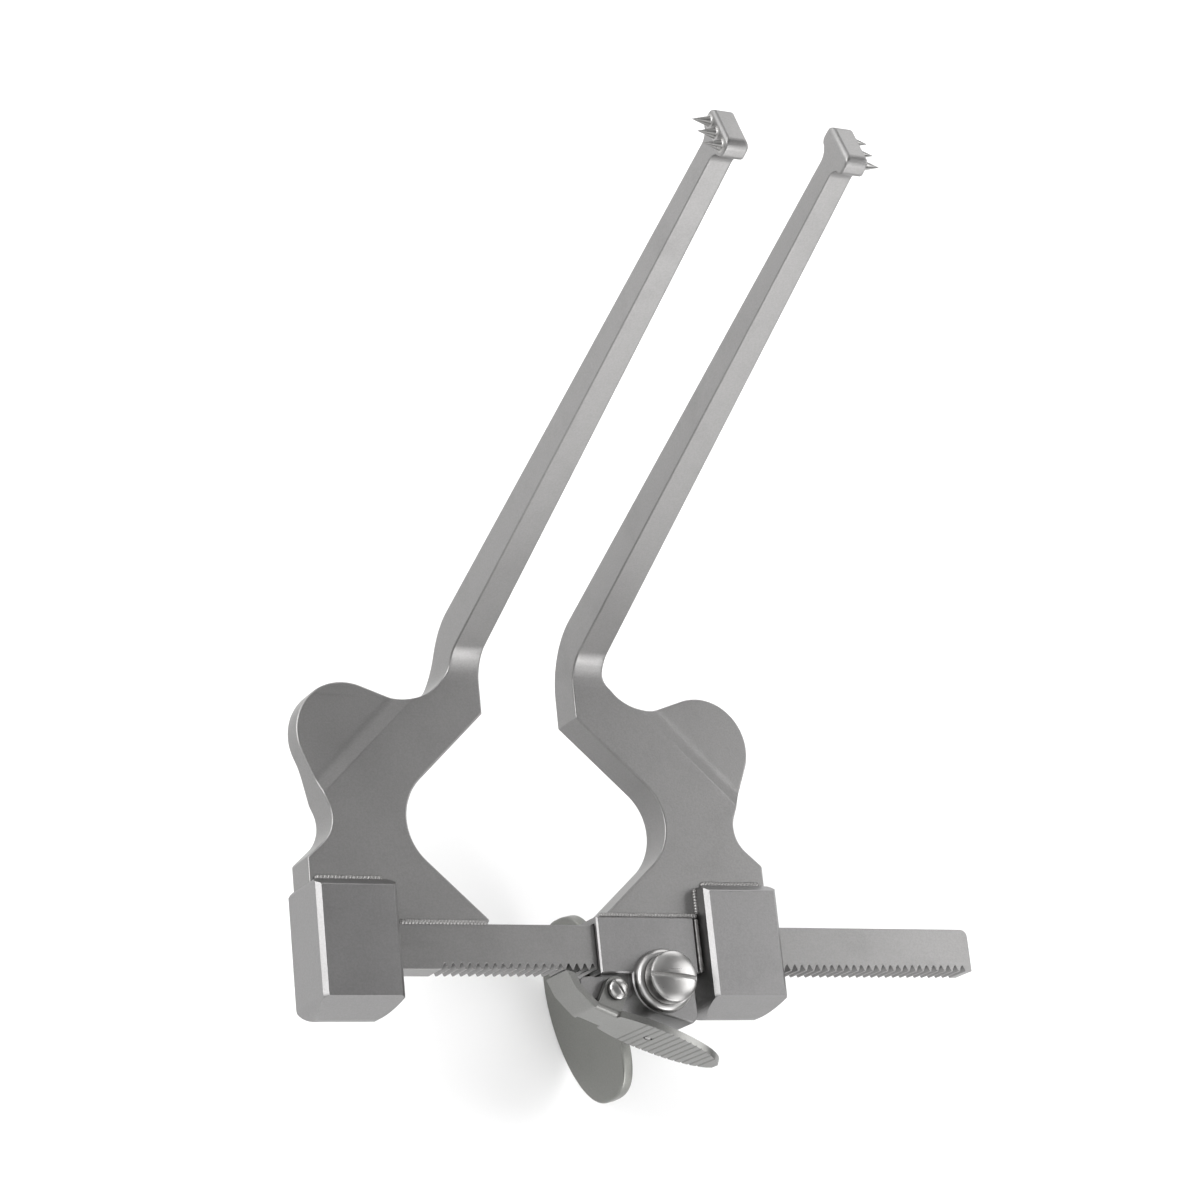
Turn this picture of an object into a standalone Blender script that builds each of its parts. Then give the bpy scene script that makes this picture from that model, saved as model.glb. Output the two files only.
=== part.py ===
"""Rack lamina spreader: two bent arms held apart by a rack, a pinion and a pawl.

The frame: X runs along the rack, Y up the arms, Z out of the front of the plates.
X = 0 is the middle of the left block, Y = 0 the root of the rack teeth and Z = 0
the back face of the blocks.  All sizes are metres.
"""
import math

import bmesh
import bpy
from mathutils import Matrix, Vector

MM = 0.001
GAP = 0.3 * MM

# Rack and pinion
MODULE = 0.5 * MM
PITCH = math.pi * MODULE
ADDENDUM = MODULE
DEDENDUM = 1.25 * MODULE
PRESSURE_ANGLE = math.radians(25)
PINION_ADDENDUM = 0.75 * MODULE
BACKLASH = 0.2 * MM
PINION_TEETH = 11
PINION_RADIUS = PINION_TEETH * MODULE / 2
RACK_HEIGHT = 6.8 * MM
RACK_THICKNESS = 5.65 * MM
RACK_TEETH_START = 16.53 * MM
RACK_END = 123.8 * MM
RACK_END_ROUNDING = 1.4 * MM
PITCH_LINE_Y = -DEDENDUM
TOOTH_TIP_Y = PITCH_LINE_Y - ADDENDUM
PINION_Y = PITCH_LINE_Y - PINION_RADIUS

# Plates and blocks
PLATE_THICKNESS = 7.4 * MM
PLATE_BACK = 2.5 * MM
PLATE_FRONT = PLATE_BACK + PLATE_THICKNESS
PLATE_OUTER_X = -7.15 * MM
BLOCK_WIDTH = 14.8 * MM
BLOCK_DEPTH = 13.6 * MM
BLOCK_TOP = 12.6 * MM
BLOCK_SHOULDER = 14.0 * MM
BLOCK_BOTTOM = -9.0 * MM
BLOCK_FRONT_CREASE = -6.4 * MM
BLOCK_CHAMFER = 0.8 * MM
BLOCK_FOOT_ROUNDING = 3.0 * MM
BLOCK_HEAD_ROUNDING = 1.0 * MM
BLOCK_SPACING = 74.2 * MM
TONGUE_WIDTH = 11.6 * MM
TONGUE_BOTTOM = RACK_HEIGHT + 2.0 * MM
RACK_FRONT = PLATE_FRONT
RACK_BACK = RACK_FRONT - RACK_THICKNESS
RACK_MIDDLE_Z = (RACK_FRONT + RACK_BACK) / 2

# Arms: flat blank first, then the bend toward the front
WAIST_X = 7.2 * MM
WAIST_Y = 25.1 * MM
WAIST_RADIUS = 10.0 * MM
WEB_INNER_X = 26.3 * MM
ARM_INNER_X = 27.85 * MM
ARM_CORNER_Y = 44.7 * MM
ARM_WIDTH = 5.9 * MM
ARM_TIP_INNER_X = 28.3 * MM
ARM_TIP_WIDTH = 3.85 * MM
ARM_TIP_THICKNESS = 3.85 * MM
BEND_START = 50.3 * MM
BEND_INNER_RADIUS = 6.3 * MM
BEND_ANGLE = math.radians(65.8)
BEND_STEPS = 10
ARM_LENGTH = 112.9 * MM
MID_PLANE_Z = PLATE_BACK + PLATE_THICKNESS / 2
BEND_RADIUS = BEND_INNER_RADIUS + PLATE_THICKNESS / 2
BEND_END = BEND_START + BEND_RADIUS * BEND_ANGLE
SPIKE_STATION = BEND_END + ARM_LENGTH

# Finger ears
EAR_RADIUS = 9.3 * MM
EAR_X = 2.1 * MM
EAR_Y = 41.0 * MM
EAR_STEP_OFFSET = 32.2 * MM
EAR_STEP_WIDTH = 2.7 * MM
EAR_FRONT_RECESS = 0.8 * MM
EAR_BACK_RECESS = 2.4 * MM
EAR_STEP_END = 43.6 * MM
EAR_NECK_X = -1.0 * MM
EAR_NECK_Y = 23.5 * MM
EAR_NECK_RADIUS = 6.0 * MM
VALLEY_X = 13.1 * MM
VALLEY_Y = 46.9 * MM

# Heads and spikes
HEAD_FRONT_REACH = 4.25 * MM
HEAD_BACK_REACH = 5.0 * MM
HEAD_BACK = 1.6 * MM
HEAD_FRONT = 1.9 * MM
HEAD_SKIN = 0.05 * MM
SPIKE_SPACING = 2.87 * MM
SPIKE_RADIUS = 0.95 * MM
SPIKE_LENGTH = 3.1 * MM
SPIKE_SHANK = 1.5 * MM

# Slide housing
SIDE_WELD_WIDTH = 1.6 * MM
HOUSING_LENGTH = 19.45 * MM
HOUSING_RIGHT = BLOCK_SPACING - BLOCK_WIDTH / 2 - SIDE_WELD_WIDTH
HOUSING_LEFT = HOUSING_RIGHT - HOUSING_LENGTH
HOUSING_FRONT = 11.1 * MM
HOUSING_BACK = 1.3 * MM
HOUSING_TOP = RACK_HEIGHT + 1.35 * MM
HOUSING_FLOOR = TOOTH_TIP_Y - 0.8 * MM
HOUSING_BEVEL = 0.3 * MM
TUNNEL_FRONT = RACK_FRONT + GAP
HOUSING_WELD = 0.9 * MM
BLOCK_WELD = 1.1 * MM
PINION_X = HOUSING_RIGHT - 7.5 * MM
GEARBOX_RADIUS = 5.9 * MM
GEARBOX_RIGHT = HOUSING_RIGHT - 1.1 * MM
GEARBOX_RIGHT_BOTTOM = -9.9 * MM
GEARBOX_CORNER_X = GEARBOX_RIGHT - 1.2 * MM
GEARBOX_BOTTOM = -10.8 * MM
LUG_LEFT = HOUSING_LEFT - 3.45 * MM
LUG_TOP = -2.3 * MM
LUG_ROOT = PINION_X - GEARBOX_RADIUS + 0.8 * MM

# Pawl
PIVOT_X = HOUSING_LEFT + 2.65 * MM
PIVOT_Y = -4.9 * MM
SHEET = 1.2 * MM
EAR_SHEET = 1.25 * MM
EAR_BEND = 1.1 * MM
WEB_EAR_START = 0.55 * MM
WEB_EAR_WIDTH = 4.5 * MM
PAWL_WIDTH = 8.2 * MM
PAWL_EAR_RADIUS = 2.4 * MM
PAWL_PIN_RADIUS = 1.0 * MM
PAWL_HEAD_RADIUS = 1.85 * MM
CLAW_X = PIVOT_X - 9.4 * MM
CLAW_BEVEL = 0.5 * MM
CLAW_KNEE_X = PIVOT_X - 8.0 * MM
CLAW_KNEE_Y = -4.5 * MM
CLAW_BEND_X = PIVOT_X - 4.9 * MM
CLAW_BEND_Y = -7.85 * MM
PAD_START_X = PIVOT_X - 0.1 * MM
PAD_START_Y = -9.8 * MM
PAD_LENGTH = 21.0 * MM
PAD_ANGLE = math.radians(-21.5)
PAD_HALF_WIDTH = 6.2 * MM
SERRATION_COUNT = 13
SERRATION_PITCH = 1.25 * MM
SERRATION_DEPTH = 0.2 * MM
PAWL_BACK = RACK_MIDDLE_Z - PAWL_WIDTH / 2
PAWL_FRONT = RACK_MIDDLE_Z + PAWL_WIDTH / 2
LUG_BACK = PAWL_BACK + EAR_SHEET + GAP
LUG_FRONT = PAWL_FRONT - EAR_SHEET - GAP
SPRING_THICKNESS = 0.3 * MM
SPRING_WIDTH = 3.6 * MM
SPRING_FOLD_DISTANCE = 3.6 * MM
SPRING_FOLD_RADIUS = 0.42 * MM
SPRING_RISE = 1.15 * MM
RIVET_DISTANCE = 7.9 * MM
RIVET_RADIUS = 0.55 * MM
RIVET_HEAD = 0.2 * MM

# Pinion shaft, collar, screw and key
JOURNAL_RADIUS = 2.0 * MM
COLLAR_RADIUS = 5.7 * MM
COLLAR_SHOULDER = 0.8 * MM
COLLAR_HEIGHT = 1.3 * MM
SCREW_RADIUS = 4.55 * MM
SCREW_HEIGHT = 2.2 * MM
SCREW_CROWN = 1.0 * MM
SCREW_SLOT = 0.75 * MM
SCREW_SLOT_DEPTH = 1.0 * MM
SCREW_SLOT_ANGLE = math.radians(-6)
SCREW_SHANK_RADIUS = 1.1 * MM
KEY_ANGLE = math.radians(12)
KEY_THICKNESS = 2.2 * MM
KEY_HALF_LENGTH = 17.3 * MM
KEY_LOBE_OFFSET = 1.3 * MM
KEY_FRONT = -7.4 * MM
KEY_DEPTH = 23.1 * MM
KEY_HUB_RADIUS = 3.4 * MM
KEY_PIN_RADIUS = 0.6 * MM
COLLAR_BACK = HOUSING_FRONT + GAP
SCREW_BACK = COLLAR_BACK + COLLAR_HEIGHT + GAP

ARC_STEP = math.radians(9)
ROUND_STEPS = 48


def clear_scene():
    """Remove every object that the scene starts with."""
    for item in list(bpy.data.objects):
        bpy.data.objects.remove(item, do_unlink=True)


def new_collection(name):
    """Make a collection of that name under the scene."""
    collection = bpy.data.collections.new(name)
    bpy.context.scene.collection.children.link(collection)
    return collection


def steel(name, colour, roughness):
    """Make a metal material."""
    material = bpy.data.materials.new(name)
    material.use_nodes = True
    shader = material.node_tree.nodes["Principled BSDF"]
    shader.inputs["Base Color"].default_value = (*colour, 1.0)
    shader.inputs["Metallic"].default_value = 1.0
    shader.inputs["Roughness"].default_value = roughness
    return material


def round_corners(corners):
    """Turn (x, y, radius) corners into an outline with arcs at the rounded ones."""
    outline = []
    count = len(corners)
    for index, (x, y, radius) in enumerate(corners):
        here = Vector((x, y))
        if radius <= 0:
            outline.append(here)
            continue
        before = (Vector(corners[index - 1][:2]) - here).normalized()
        after = (Vector(corners[(index + 1) % count][:2]) - here).normalized()
        half = before.angle(after) / 2
        reach = radius / math.tan(half)
        centre = here + (before + after).normalized() * (radius / math.sin(half))
        start = here + before * reach - centre
        sweep = math.pi - 2 * half
        if before.cross(after) > 0:
            sweep = -sweep
        steps = max(2, math.ceil(abs(sweep) / ARC_STEP))
        for step in range(steps + 1):
            turn = Matrix.Rotation(sweep * step / steps, 2)
            outline.append(centre + turn @ start)
    return outline


def circle(radius, steps=ROUND_STEPS, centre=(0.0, 0.0)):
    """Give the points of a circle."""
    points = []
    for step in range(steps):
        angle = math.tau * step / steps
        points.append(Vector((centre[0] + radius * math.cos(angle), centre[1] + radius * math.sin(angle))))
    return points


def mesh_object(name, mesh_data, collection, material=None):
    """Close a bmesh into an object."""
    mesh_data.normal_update()
    bmesh.ops.recalc_face_normals(mesh_data, faces=mesh_data.faces)
    mesh = bpy.data.meshes.new(name)
    mesh_data.to_mesh(mesh)
    mesh_data.free()
    item = bpy.data.objects.new(name, mesh)
    collection.objects.link(item)
    if material:
        mesh.materials.append(material)
    return item


def prism(outline, low, high):
    """Extrude an XY outline from Z = low to Z = high."""
    solid = bmesh.new()
    face = solid.faces.new([solid.verts.new((x, y, low)) for x, y in outline])
    grown = bmesh.ops.extrude_face_region(solid, geom=[face])
    top = [item for item in grown["geom"] if isinstance(item, bmesh.types.BMVert)]
    bmesh.ops.translate(solid, verts=top, vec=(0, 0, high - low))
    return solid


def side_prism(outline, low, high):
    """Extrude a (Z, Y) outline from X = low to X = high."""
    solid = prism(outline, low, high)
    for vert in solid.verts:
        z, y, x = vert.co
        vert.co = (x, y, z)
    return solid


def revolve(profile, steps=ROUND_STEPS, close=False):
    """Turn a (radius, Z) profile about the Z axis."""
    solid = bmesh.new()
    verts = [solid.verts.new((radius, 0, z)) for radius, z in profile]
    edges = [solid.edges.new(pair) for pair in zip(verts, verts[1:])]
    if close:
        edges.append(solid.edges.new((verts[-1], verts[0])))
    bmesh.ops.spin(solid, geom=verts + edges, cent=(0, 0, 0), axis=(0, 0, 1), angle=math.tau, steps=steps)
    bmesh.ops.remove_doubles(solid, verts=solid.verts, dist=0.001 * MM)
    return solid


def shade_round(item, angle=math.radians(30)):
    """Shade a turned piece smooth, but keep its sharp rims."""
    mesh = item.data
    for face in mesh.polygons:
        face.use_smooth = True
    mesh.set_sharp_from_angle(angle=angle)


def combine(target, cutter, operation="DIFFERENCE"):
    """Join, cut or intersect the target with a cutter."""
    step = target.modifiers.new(f"{operation.lower()} {cutter.name}", "BOOLEAN")
    step.operation = operation
    step.solver = "EXACT"
    step.object = cutter


class Workshop:
    """The collections and materials that the sub-parts share."""

    def __init__(self):
        self.parts = new_collection("lamina_spreader")
        self.cutters = new_collection("lamina_spreader_cutters")
        self.cutters.hide_render = True
        self.satin = steel("satin_steel", (0.46, 0.45, 0.44), 0.38)
        self.brushed = steel("brushed_steel", (0.50, 0.49, 0.48), 0.30)
        self.polished = steel("polished_steel", (0.62, 0.61, 0.60), 0.18)
        self.spring = steel("spring_steel", (0.55, 0.54, 0.53), 0.25)

    def part(self, name, solid, material):
        """Add a sub-part."""
        return mesh_object(name, solid, self.parts, material)

    def cutter(self, name, solid):
        """Add a cutter, drawn as wire and left out of renders."""
        item = mesh_object(name, solid, self.cutters)
        item.display_type = "WIRE"
        item.hide_render = True
        return item


def mirror_for_right(solid):
    """Carry a left-hand shape to its mirrored place on the right-hand block."""
    for vert in solid.verts:
        vert.co.x = BLOCK_SPACING - vert.co.x


def arm_thickness(station):
    """Thickness of the arm at a distance along its blank."""
    if station <= BEND_END:
        return PLATE_THICKNESS
    share = (station - BEND_END) / ARM_LENGTH
    return PLATE_THICKNESS + (ARM_TIP_THICKNESS - PLATE_THICKNESS) * share


def bend_point(station, offset):
    """Give (Y, Z) of a blank point, offset toward the front from the middle plane."""
    centre_z = MID_PLANE_Z + BEND_RADIUS
    if station <= BEND_START:
        return station, MID_PLANE_Z + offset
    angle = min((station - BEND_START) / BEND_RADIUS, BEND_ANGLE)
    beyond = max(station - BEND_END, 0.0)
    radius = BEND_RADIUS - offset
    y = BEND_START + radius * math.sin(angle) + beyond * math.cos(angle)
    z = centre_z - radius * math.cos(angle) + beyond * math.sin(angle)
    return y, z


def arm_outline(plate_bottom):
    """Outline of the flat blank: tongue, plate, finger ear, waist and arm."""
    side_x = BLOCK_WIDTH / 2 + GAP
    tongue = TONGUE_WIDTH / 2
    seat_y = BLOCK_SHOULDER + GAP
    end = SPIKE_STATION - HEAD_BACK - 2.0 * MM
    ear_top = EAR_Y + EAR_RADIUS
    ear_left = EAR_X - EAR_RADIUS
    return round_corners([
        (-tongue, TONGUE_BOTTOM, 0),
        (tongue, TONGUE_BOTTOM, 0),
        (tongue, seat_y, 0),
        (side_x, seat_y, 0),
        (side_x, plate_bottom, 0),
        (WEB_INNER_X, plate_bottom, 0),
        (WAIST_X, WAIST_Y, WAIST_RADIUS),
        (ARM_INNER_X, ARM_CORNER_Y, 0),
        (ARM_INNER_X, BEND_END, 0),
        (ARM_TIP_INNER_X, end, 0),
        (ARM_TIP_INNER_X - ARM_TIP_WIDTH, end, 0),
        (ARM_INNER_X - ARM_WIDTH, BEND_END, 0),
        (ARM_INNER_X - ARM_WIDTH - 0.1 * MM, VALLEY_Y + 1.9 * MM, 5.0 * MM),
        (VALLEY_X, VALLEY_Y, 2.5 * MM),
        (EAR_X + 1.7 * MM, ear_top, EAR_RADIUS),
        (ear_left, ear_top, EAR_RADIUS),
        (ear_left, EAR_Y - 2.4 * MM, EAR_RADIUS),
        (EAR_NECK_X, EAR_NECK_Y, EAR_NECK_RADIUS),
        (PLATE_OUTER_X, 18.1 * MM, 0.8 * MM),
        (PLATE_OUTER_X, seat_y, 0),
        (-tongue, seat_y, 0),
    ])


def bent_blank(plate_bottom):
    """Extrude the blank, slice it along the bend and fold it toward the front."""
    solid = prism(arm_outline(plate_bottom), -0.5, 0.5)
    stations = [BEND_START + (BEND_END - BEND_START) * step / BEND_STEPS for step in range(BEND_STEPS + 1)]
    stations.append(BEND_END + ARM_LENGTH / 2)
    for station in stations:
        geometry = solid.verts[:] + solid.edges[:] + solid.faces[:]
        bmesh.ops.bisect_plane(solid, geom=geometry, plane_co=(0, station, 0), plane_no=(0, 1, 0))
    for vert in solid.verts:
        x, station, side = vert.co
        y, z = bend_point(station, side * arm_thickness(station))
        vert.co = (x, y, z)
    return solid


def step_cutter(face_z, depth):
    """Prism that lowers the ear behind the slanted step, easing into the recess."""
    outward = 6.0 * MM if depth > 0 else -6.0 * MM
    length = ARM_LENGTH / 2
    outline = []
    for share in (0.0, 0.2, 0.4, 0.6, 0.8, 1.0):
        outline.append(Vector((EAR_STEP_WIDTH * share, face_z - depth * (1 - (1 - share) ** 2))))
    outline.append(Vector((length, face_z - depth)))
    outline.append(Vector((length, face_z + outward)))
    outline.append(Vector((0, face_z + outward)))
    solid = prism(outline, EAR_STEP_END - length, EAR_STEP_END)
    across = Vector((-1, 1, 0)).normalized()
    along = Vector((1, 1, 0)).normalized()
    origin = across * (EAR_STEP_OFFSET / math.sqrt(2))
    for vert in solid.verts:
        u, z, v = vert.co
        vert.co = origin + across * u + along * v + Vector((0, 0, z))
    return solid


def arm_sides(station):
    """Inner and outer X of the straight arm at a station."""
    share = (station - BEND_END) / (SPIKE_STATION - HEAD_BACK - 2.0 * MM - BEND_END)
    inner = ARM_INNER_X + (ARM_TIP_INNER_X - ARM_INNER_X) * share
    width = ARM_WIDTH + (ARM_TIP_WIDTH - ARM_WIDTH) * share
    return inner, inner - width


def head_solid():
    """Hammer head across the arm's end, seen in the arm's own (station, offset) plane."""
    root = ARM_TIP_THICKNESS / 2 - 0.25 * MM
    back = SPIKE_STATION - HEAD_BACK
    front = SPIKE_STATION + HEAD_FRONT
    outline = round_corners([
        (back - 9.0 * MM, -root, 0),
        (back - 2.2 * MM, -root, 2.5 * MM),
        (back, -HEAD_BACK_REACH, 0.7 * MM),
        (front, -HEAD_BACK_REACH, 1.0 * MM),
        (front, HEAD_FRONT_REACH, 1.0 * MM),
        (back, HEAD_FRONT_REACH, 0.7 * MM),
        (back - 2.2 * MM, root, 2.5 * MM),
        (back - 9.0 * MM, root, 0),
    ])
    solid = prism(outline, -0.5, 0.5)
    for vert in solid.verts:
        station, offset, side = vert.co
        inner, outer = arm_sides(station)
        y, z = bend_point(station, offset)
        x = (inner + HEAD_SKIN) if side > 0 else (outer - HEAD_SKIN)
        vert.co = (x, y, z)
    return solid


def spike_frames():
    """Root of each spike on the outer side of the left head, lower one last."""
    frames = []
    outer = arm_sides(SPIKE_STATION)[1] - HEAD_SKIN
    for place in (-1, 0, 1):
        y, z = bend_point(SPIKE_STATION, place * SPIKE_SPACING)
        frames.append(Vector((outer, y, z)))
    return frames


def arm(shop, side):
    """Bent arm with its plate, finger ear and head."""
    right = side == "right"
    seat = HOUSING_TOP if right else RACK_HEIGHT
    solid = bent_blank(seat + GAP)
    cutters = {
        "ear_front_step": step_cutter(PLATE_FRONT, EAR_FRONT_RECESS),
        "ear_back_step": step_cutter(PLATE_BACK, -EAR_BACK_RECESS),
        "head": head_solid(),
    }
    for index, root in enumerate(spike_frames()):
        bore = prism(circle(SPIKE_RADIUS + GAP, 24), -SPIKE_SHANK - GAP, 1.0 * MM)
        turn = Matrix.Rotation(-math.pi / 2, 4, "Y")
        bmesh.ops.transform(bore, matrix=Matrix.Translation(root) @ turn, verts=bore.verts)
        cutters[f"spike_bore_{index + 1}"] = bore
    if right:
        mirror_for_right(solid)
    item = shop.part(f"{side}_arm", solid, shop.satin)
    for name, cutter in cutters.items():
        if right:
            mirror_for_right(cutter)
        operation = "UNION" if name == "head" else "DIFFERENCE"
        combine(item, shop.cutter(f"{side}_{name}", cutter), operation)
    return item


def spikes(shop, side):
    """Three pointed pins pressed into the outer side of a head."""
    for index, root in enumerate(spike_frames()):
        solid = revolve([(0, -SPIKE_SHANK), (SPIKE_RADIUS, -SPIKE_SHANK), (SPIKE_RADIUS, 0), (0, SPIKE_LENGTH)], 24)
        turn = Matrix.Rotation(-math.pi / 2, 4, "Y")
        bmesh.ops.transform(solid, matrix=turn, verts=solid.verts)
        if side == "right":
            bmesh.ops.rotate(solid, verts=solid.verts, matrix=Matrix.Rotation(math.pi, 3, "Y"))
        item = shop.part(f"{side}_spike_{index + 1}", solid, shop.polished)
        shade_round(item)
        item.location = root
        if side == "right":
            item.location.x = BLOCK_SPACING - root.x


def block_profile():
    """(Z, Y) side profile of a block: shoulders above, rounded belly below."""
    slope = 2.2 * MM
    return round_corners([
        (0, BLOCK_TOP, 0.5 * MM),
        (0, BLOCK_BOTTOM + 0.5 * MM, 4.6 * MM),
        (5.4 * MM, BLOCK_BOTTOM, 3.0 * MM),
        (BLOCK_DEPTH, BLOCK_FRONT_CREASE, 0),
        (BLOCK_DEPTH, BLOCK_TOP, 0.5 * MM),
        (BLOCK_DEPTH - slope, BLOCK_SHOULDER, 0),
        (slope, BLOCK_SHOULDER, 0),
    ])


def block(shop, side):
    """Thick foot of an arm, with a socket for the arm's tongue and a way for the rack."""
    right = side == "right"
    half = BLOCK_WIDTH / 2
    solid = prism(round_corners([
        (-half, BLOCK_BOTTOM, BLOCK_FOOT_ROUNDING),
        (half, BLOCK_BOTTOM, BLOCK_FOOT_ROUNDING),
        (half, BLOCK_SHOULDER, BLOCK_HEAD_ROUNDING),
        (-half, BLOCK_SHOULDER, BLOCK_HEAD_ROUNDING),
    ]), 0, BLOCK_DEPTH)
    rims = [edge for edge in solid.edges if abs(edge.verts[0].co.z - edge.verts[1].co.z) < MM / 1000]
    bmesh.ops.bevel(solid, geom=rims, offset=BLOCK_CHAMFER, segments=1, affect="EDGES", profile=0.5)
    profile = side_prism(block_profile(), -half - MM, half + MM)
    tongue = TONGUE_WIDTH / 2 + GAP
    socket = prism(
        [(-tongue, TONGUE_BOTTOM - GAP), (tongue, TONGUE_BOTTOM - GAP), (tongue, BLOCK_SHOULDER + MM),
         (-tongue, BLOCK_SHOULDER + MM)],
        PLATE_BACK - GAP, PLATE_FRONT + GAP)
    rack_stop = half + MM if right else half - 3.0 * MM
    rack_way = prism(
        [(-rack_stop, TOOTH_TIP_Y - GAP), (half + MM, TOOTH_TIP_Y - GAP), (half + MM, RACK_HEIGHT + GAP),
         (-rack_stop, RACK_HEIGHT + GAP)],
        RACK_BACK - GAP, RACK_FRONT + GAP)
    if right:
        for item in (solid, profile, socket, rack_way):
            mirror_for_right(item)
    item = shop.part(f"{side}_block", solid, shop.satin)
    combine(item, shop.cutter(f"{side}_block_profile", profile), "INTERSECT")
    combine(item, shop.cutter(f"{side}_block_socket", socket))
    combine(item, shop.cutter(f"{side}_block_rack_way", rack_way))
    return item


def rack_bar(shop):
    """Toothed bar, fixed in the left block, that the housing slides along."""
    flank = ADDENDUM * math.tan(PRESSURE_ANGLE)
    foot = DEDENDUM * math.tan(PRESSURE_ANGLE)
    quarter = PITCH / 4
    outline = [Vector((-BLOCK_WIDTH / 2 + 3.0 * MM + GAP, TOOTH_TIP_Y))]
    count = int((RACK_END - RACK_TEETH_START) / PITCH)
    for index in range(count):
        middle = RACK_TEETH_START + index * PITCH
        outline.append(Vector((middle - quarter - flank, TOOTH_TIP_Y)))
        outline.append(Vector((middle - quarter + foot, 0)))
        outline.append(Vector((middle + quarter - foot, 0)))
        outline.append(Vector((middle + quarter + flank, TOOTH_TIP_Y)))
    outline.append(Vector((RACK_END, TOOTH_TIP_Y)))
    for step in range(6):
        angle = math.radians(90) * step / 5
        outline.append(Vector((
            RACK_END - RACK_END_ROUNDING * (1 - math.cos(angle)),
            RACK_HEIGHT - RACK_END_ROUNDING * (1 - math.sin(angle)))))
    outline.append(Vector((outline[0].x, RACK_HEIGHT)))
    return shop.part("rack_bar", prism(outline, RACK_BACK, RACK_FRONT), shop.brushed)


def gearbox_curve():
    """Arc of the pinion case about the pinion, to where its straight floor touches it."""
    centre = Vector((PINION_X, PINION_Y))
    away = Vector((GEARBOX_CORNER_X, GEARBOX_BOTTOM)) - centre
    end = math.tau + math.atan2(away.y, away.x) - math.acos(GEARBOX_RADIUS / away.length)
    steps = math.ceil((end - math.pi) / ARC_STEP)
    angles = [math.pi + (end - math.pi) * step / steps for step in range(steps + 1)]
    return [centre + Vector((math.cos(angle), math.sin(angle))) * GEARBOX_RADIUS for angle in angles]


def housing_outline():
    """XY outline of the slide housing with the pinion case hanging below it."""
    return [
        Vector((HOUSING_LEFT, HOUSING_FLOOR)),
        Vector((PINION_X - GEARBOX_RADIUS, HOUSING_FLOOR)),
        *gearbox_curve(),
        Vector((GEARBOX_CORNER_X, GEARBOX_BOTTOM)),
        Vector((GEARBOX_RIGHT, GEARBOX_RIGHT_BOTTOM)),
        Vector((GEARBOX_RIGHT, HOUSING_FLOOR)),
        Vector((HOUSING_RIGHT, HOUSING_FLOOR)),
        Vector((HOUSING_RIGHT, HOUSING_TOP)),
        Vector((HOUSING_LEFT, HOUSING_TOP)),
    ]


def housing(shop):
    """Slide housing: runs on the rack, cases the pinion and carries the pawl's lug."""
    solid = prism(housing_outline(), HOUSING_BACK, HOUSING_FRONT)
    rim = [edge for edge in solid.edges if all(abs(vert.co.z - HOUSING_FRONT) < MM / 1000 for vert in edge.verts)]
    bmesh.ops.bevel(solid, geom=rim, offset=HOUSING_BEVEL, segments=1, affect="EDGES", profile=0.5)
    item = shop.part("housing", solid, shop.satin)
    lug = prism(round_corners([
        (LUG_LEFT, LUG_TOP, 0.9 * MM),
        (LUG_LEFT, -5.3 * MM, 1.6 * MM),
        (PIVOT_X - 1.0 * MM, PIVOT_Y - 2.0 * MM, 1.5 * MM),
        (PIVOT_X + 1.8 * MM, PIVOT_Y - 2.0 * MM, 1.2 * MM),
        (LUG_ROOT, PIVOT_Y, 0),
        (LUG_ROOT, HOUSING_FLOOR + 0.2 * MM, 0),
        (HOUSING_LEFT + 0.6 * MM, HOUSING_FLOOR + 0.2 * MM, 0),
        (HOUSING_LEFT + 0.6 * MM, LUG_TOP, 0),
    ]), LUG_BACK, LUG_FRONT)
    combine(item, shop.cutter("housing_lug", lug), "UNION")
    tunnel = prism(
        [(HOUSING_LEFT - MM, TOOTH_TIP_Y - GAP), (HOUSING_RIGHT + MM, TOOTH_TIP_Y - GAP),
         (HOUSING_RIGHT + MM, RACK_HEIGHT + GAP), (HOUSING_LEFT - MM, RACK_HEIGHT + GAP)],
        RACK_BACK - GAP, RACK_FRONT + GAP)
    combine(item, shop.cutter("housing_tunnel", tunnel))
    centre = (PINION_X, PINION_Y)
    chamber = prism(circle(PINION_RADIUS + ADDENDUM + GAP, 40, centre), RACK_BACK - GAP, RACK_FRONT + GAP)
    combine(item, shop.cutter("housing_chamber", chamber))
    bore = prism(circle(JOURNAL_RADIUS + GAP, 32, centre), HOUSING_BACK - MM, HOUSING_FRONT + MM)
    combine(item, shop.cutter("housing_shaft_bore", bore))
    pin_bore = prism(circle(PAWL_PIN_RADIUS + GAP, 24, (PIVOT_X, PIVOT_Y)), LUG_BACK - MM, LUG_FRONT + MM)
    combine(item, shop.cutter("housing_pivot_bore", pin_bore))
    return item


def involute_tooth():
    """Half-angle of a pinion tooth at each radius, from the root to the tip."""
    base = PINION_RADIUS * math.cos(PRESSURE_ANGLE)
    tip = PINION_RADIUS + PINION_ADDENDUM
    root = PINION_RADIUS - DEDENDUM
    flat = math.tan(PRESSURE_ANGLE) - PRESSURE_ANGLE
    half_at_pitch = (math.pi * MODULE / 2 - BACKLASH) / (2 * PINION_RADIUS)
    flank = [(root, half_at_pitch + flat)]
    for step in range(5):
        radius = base + (tip - base) * step / 4
        roll = math.acos(min(base / radius, 1.0))
        flank.append((radius, half_at_pitch + flat - (math.tan(roll) - roll)))
    return flank


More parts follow.
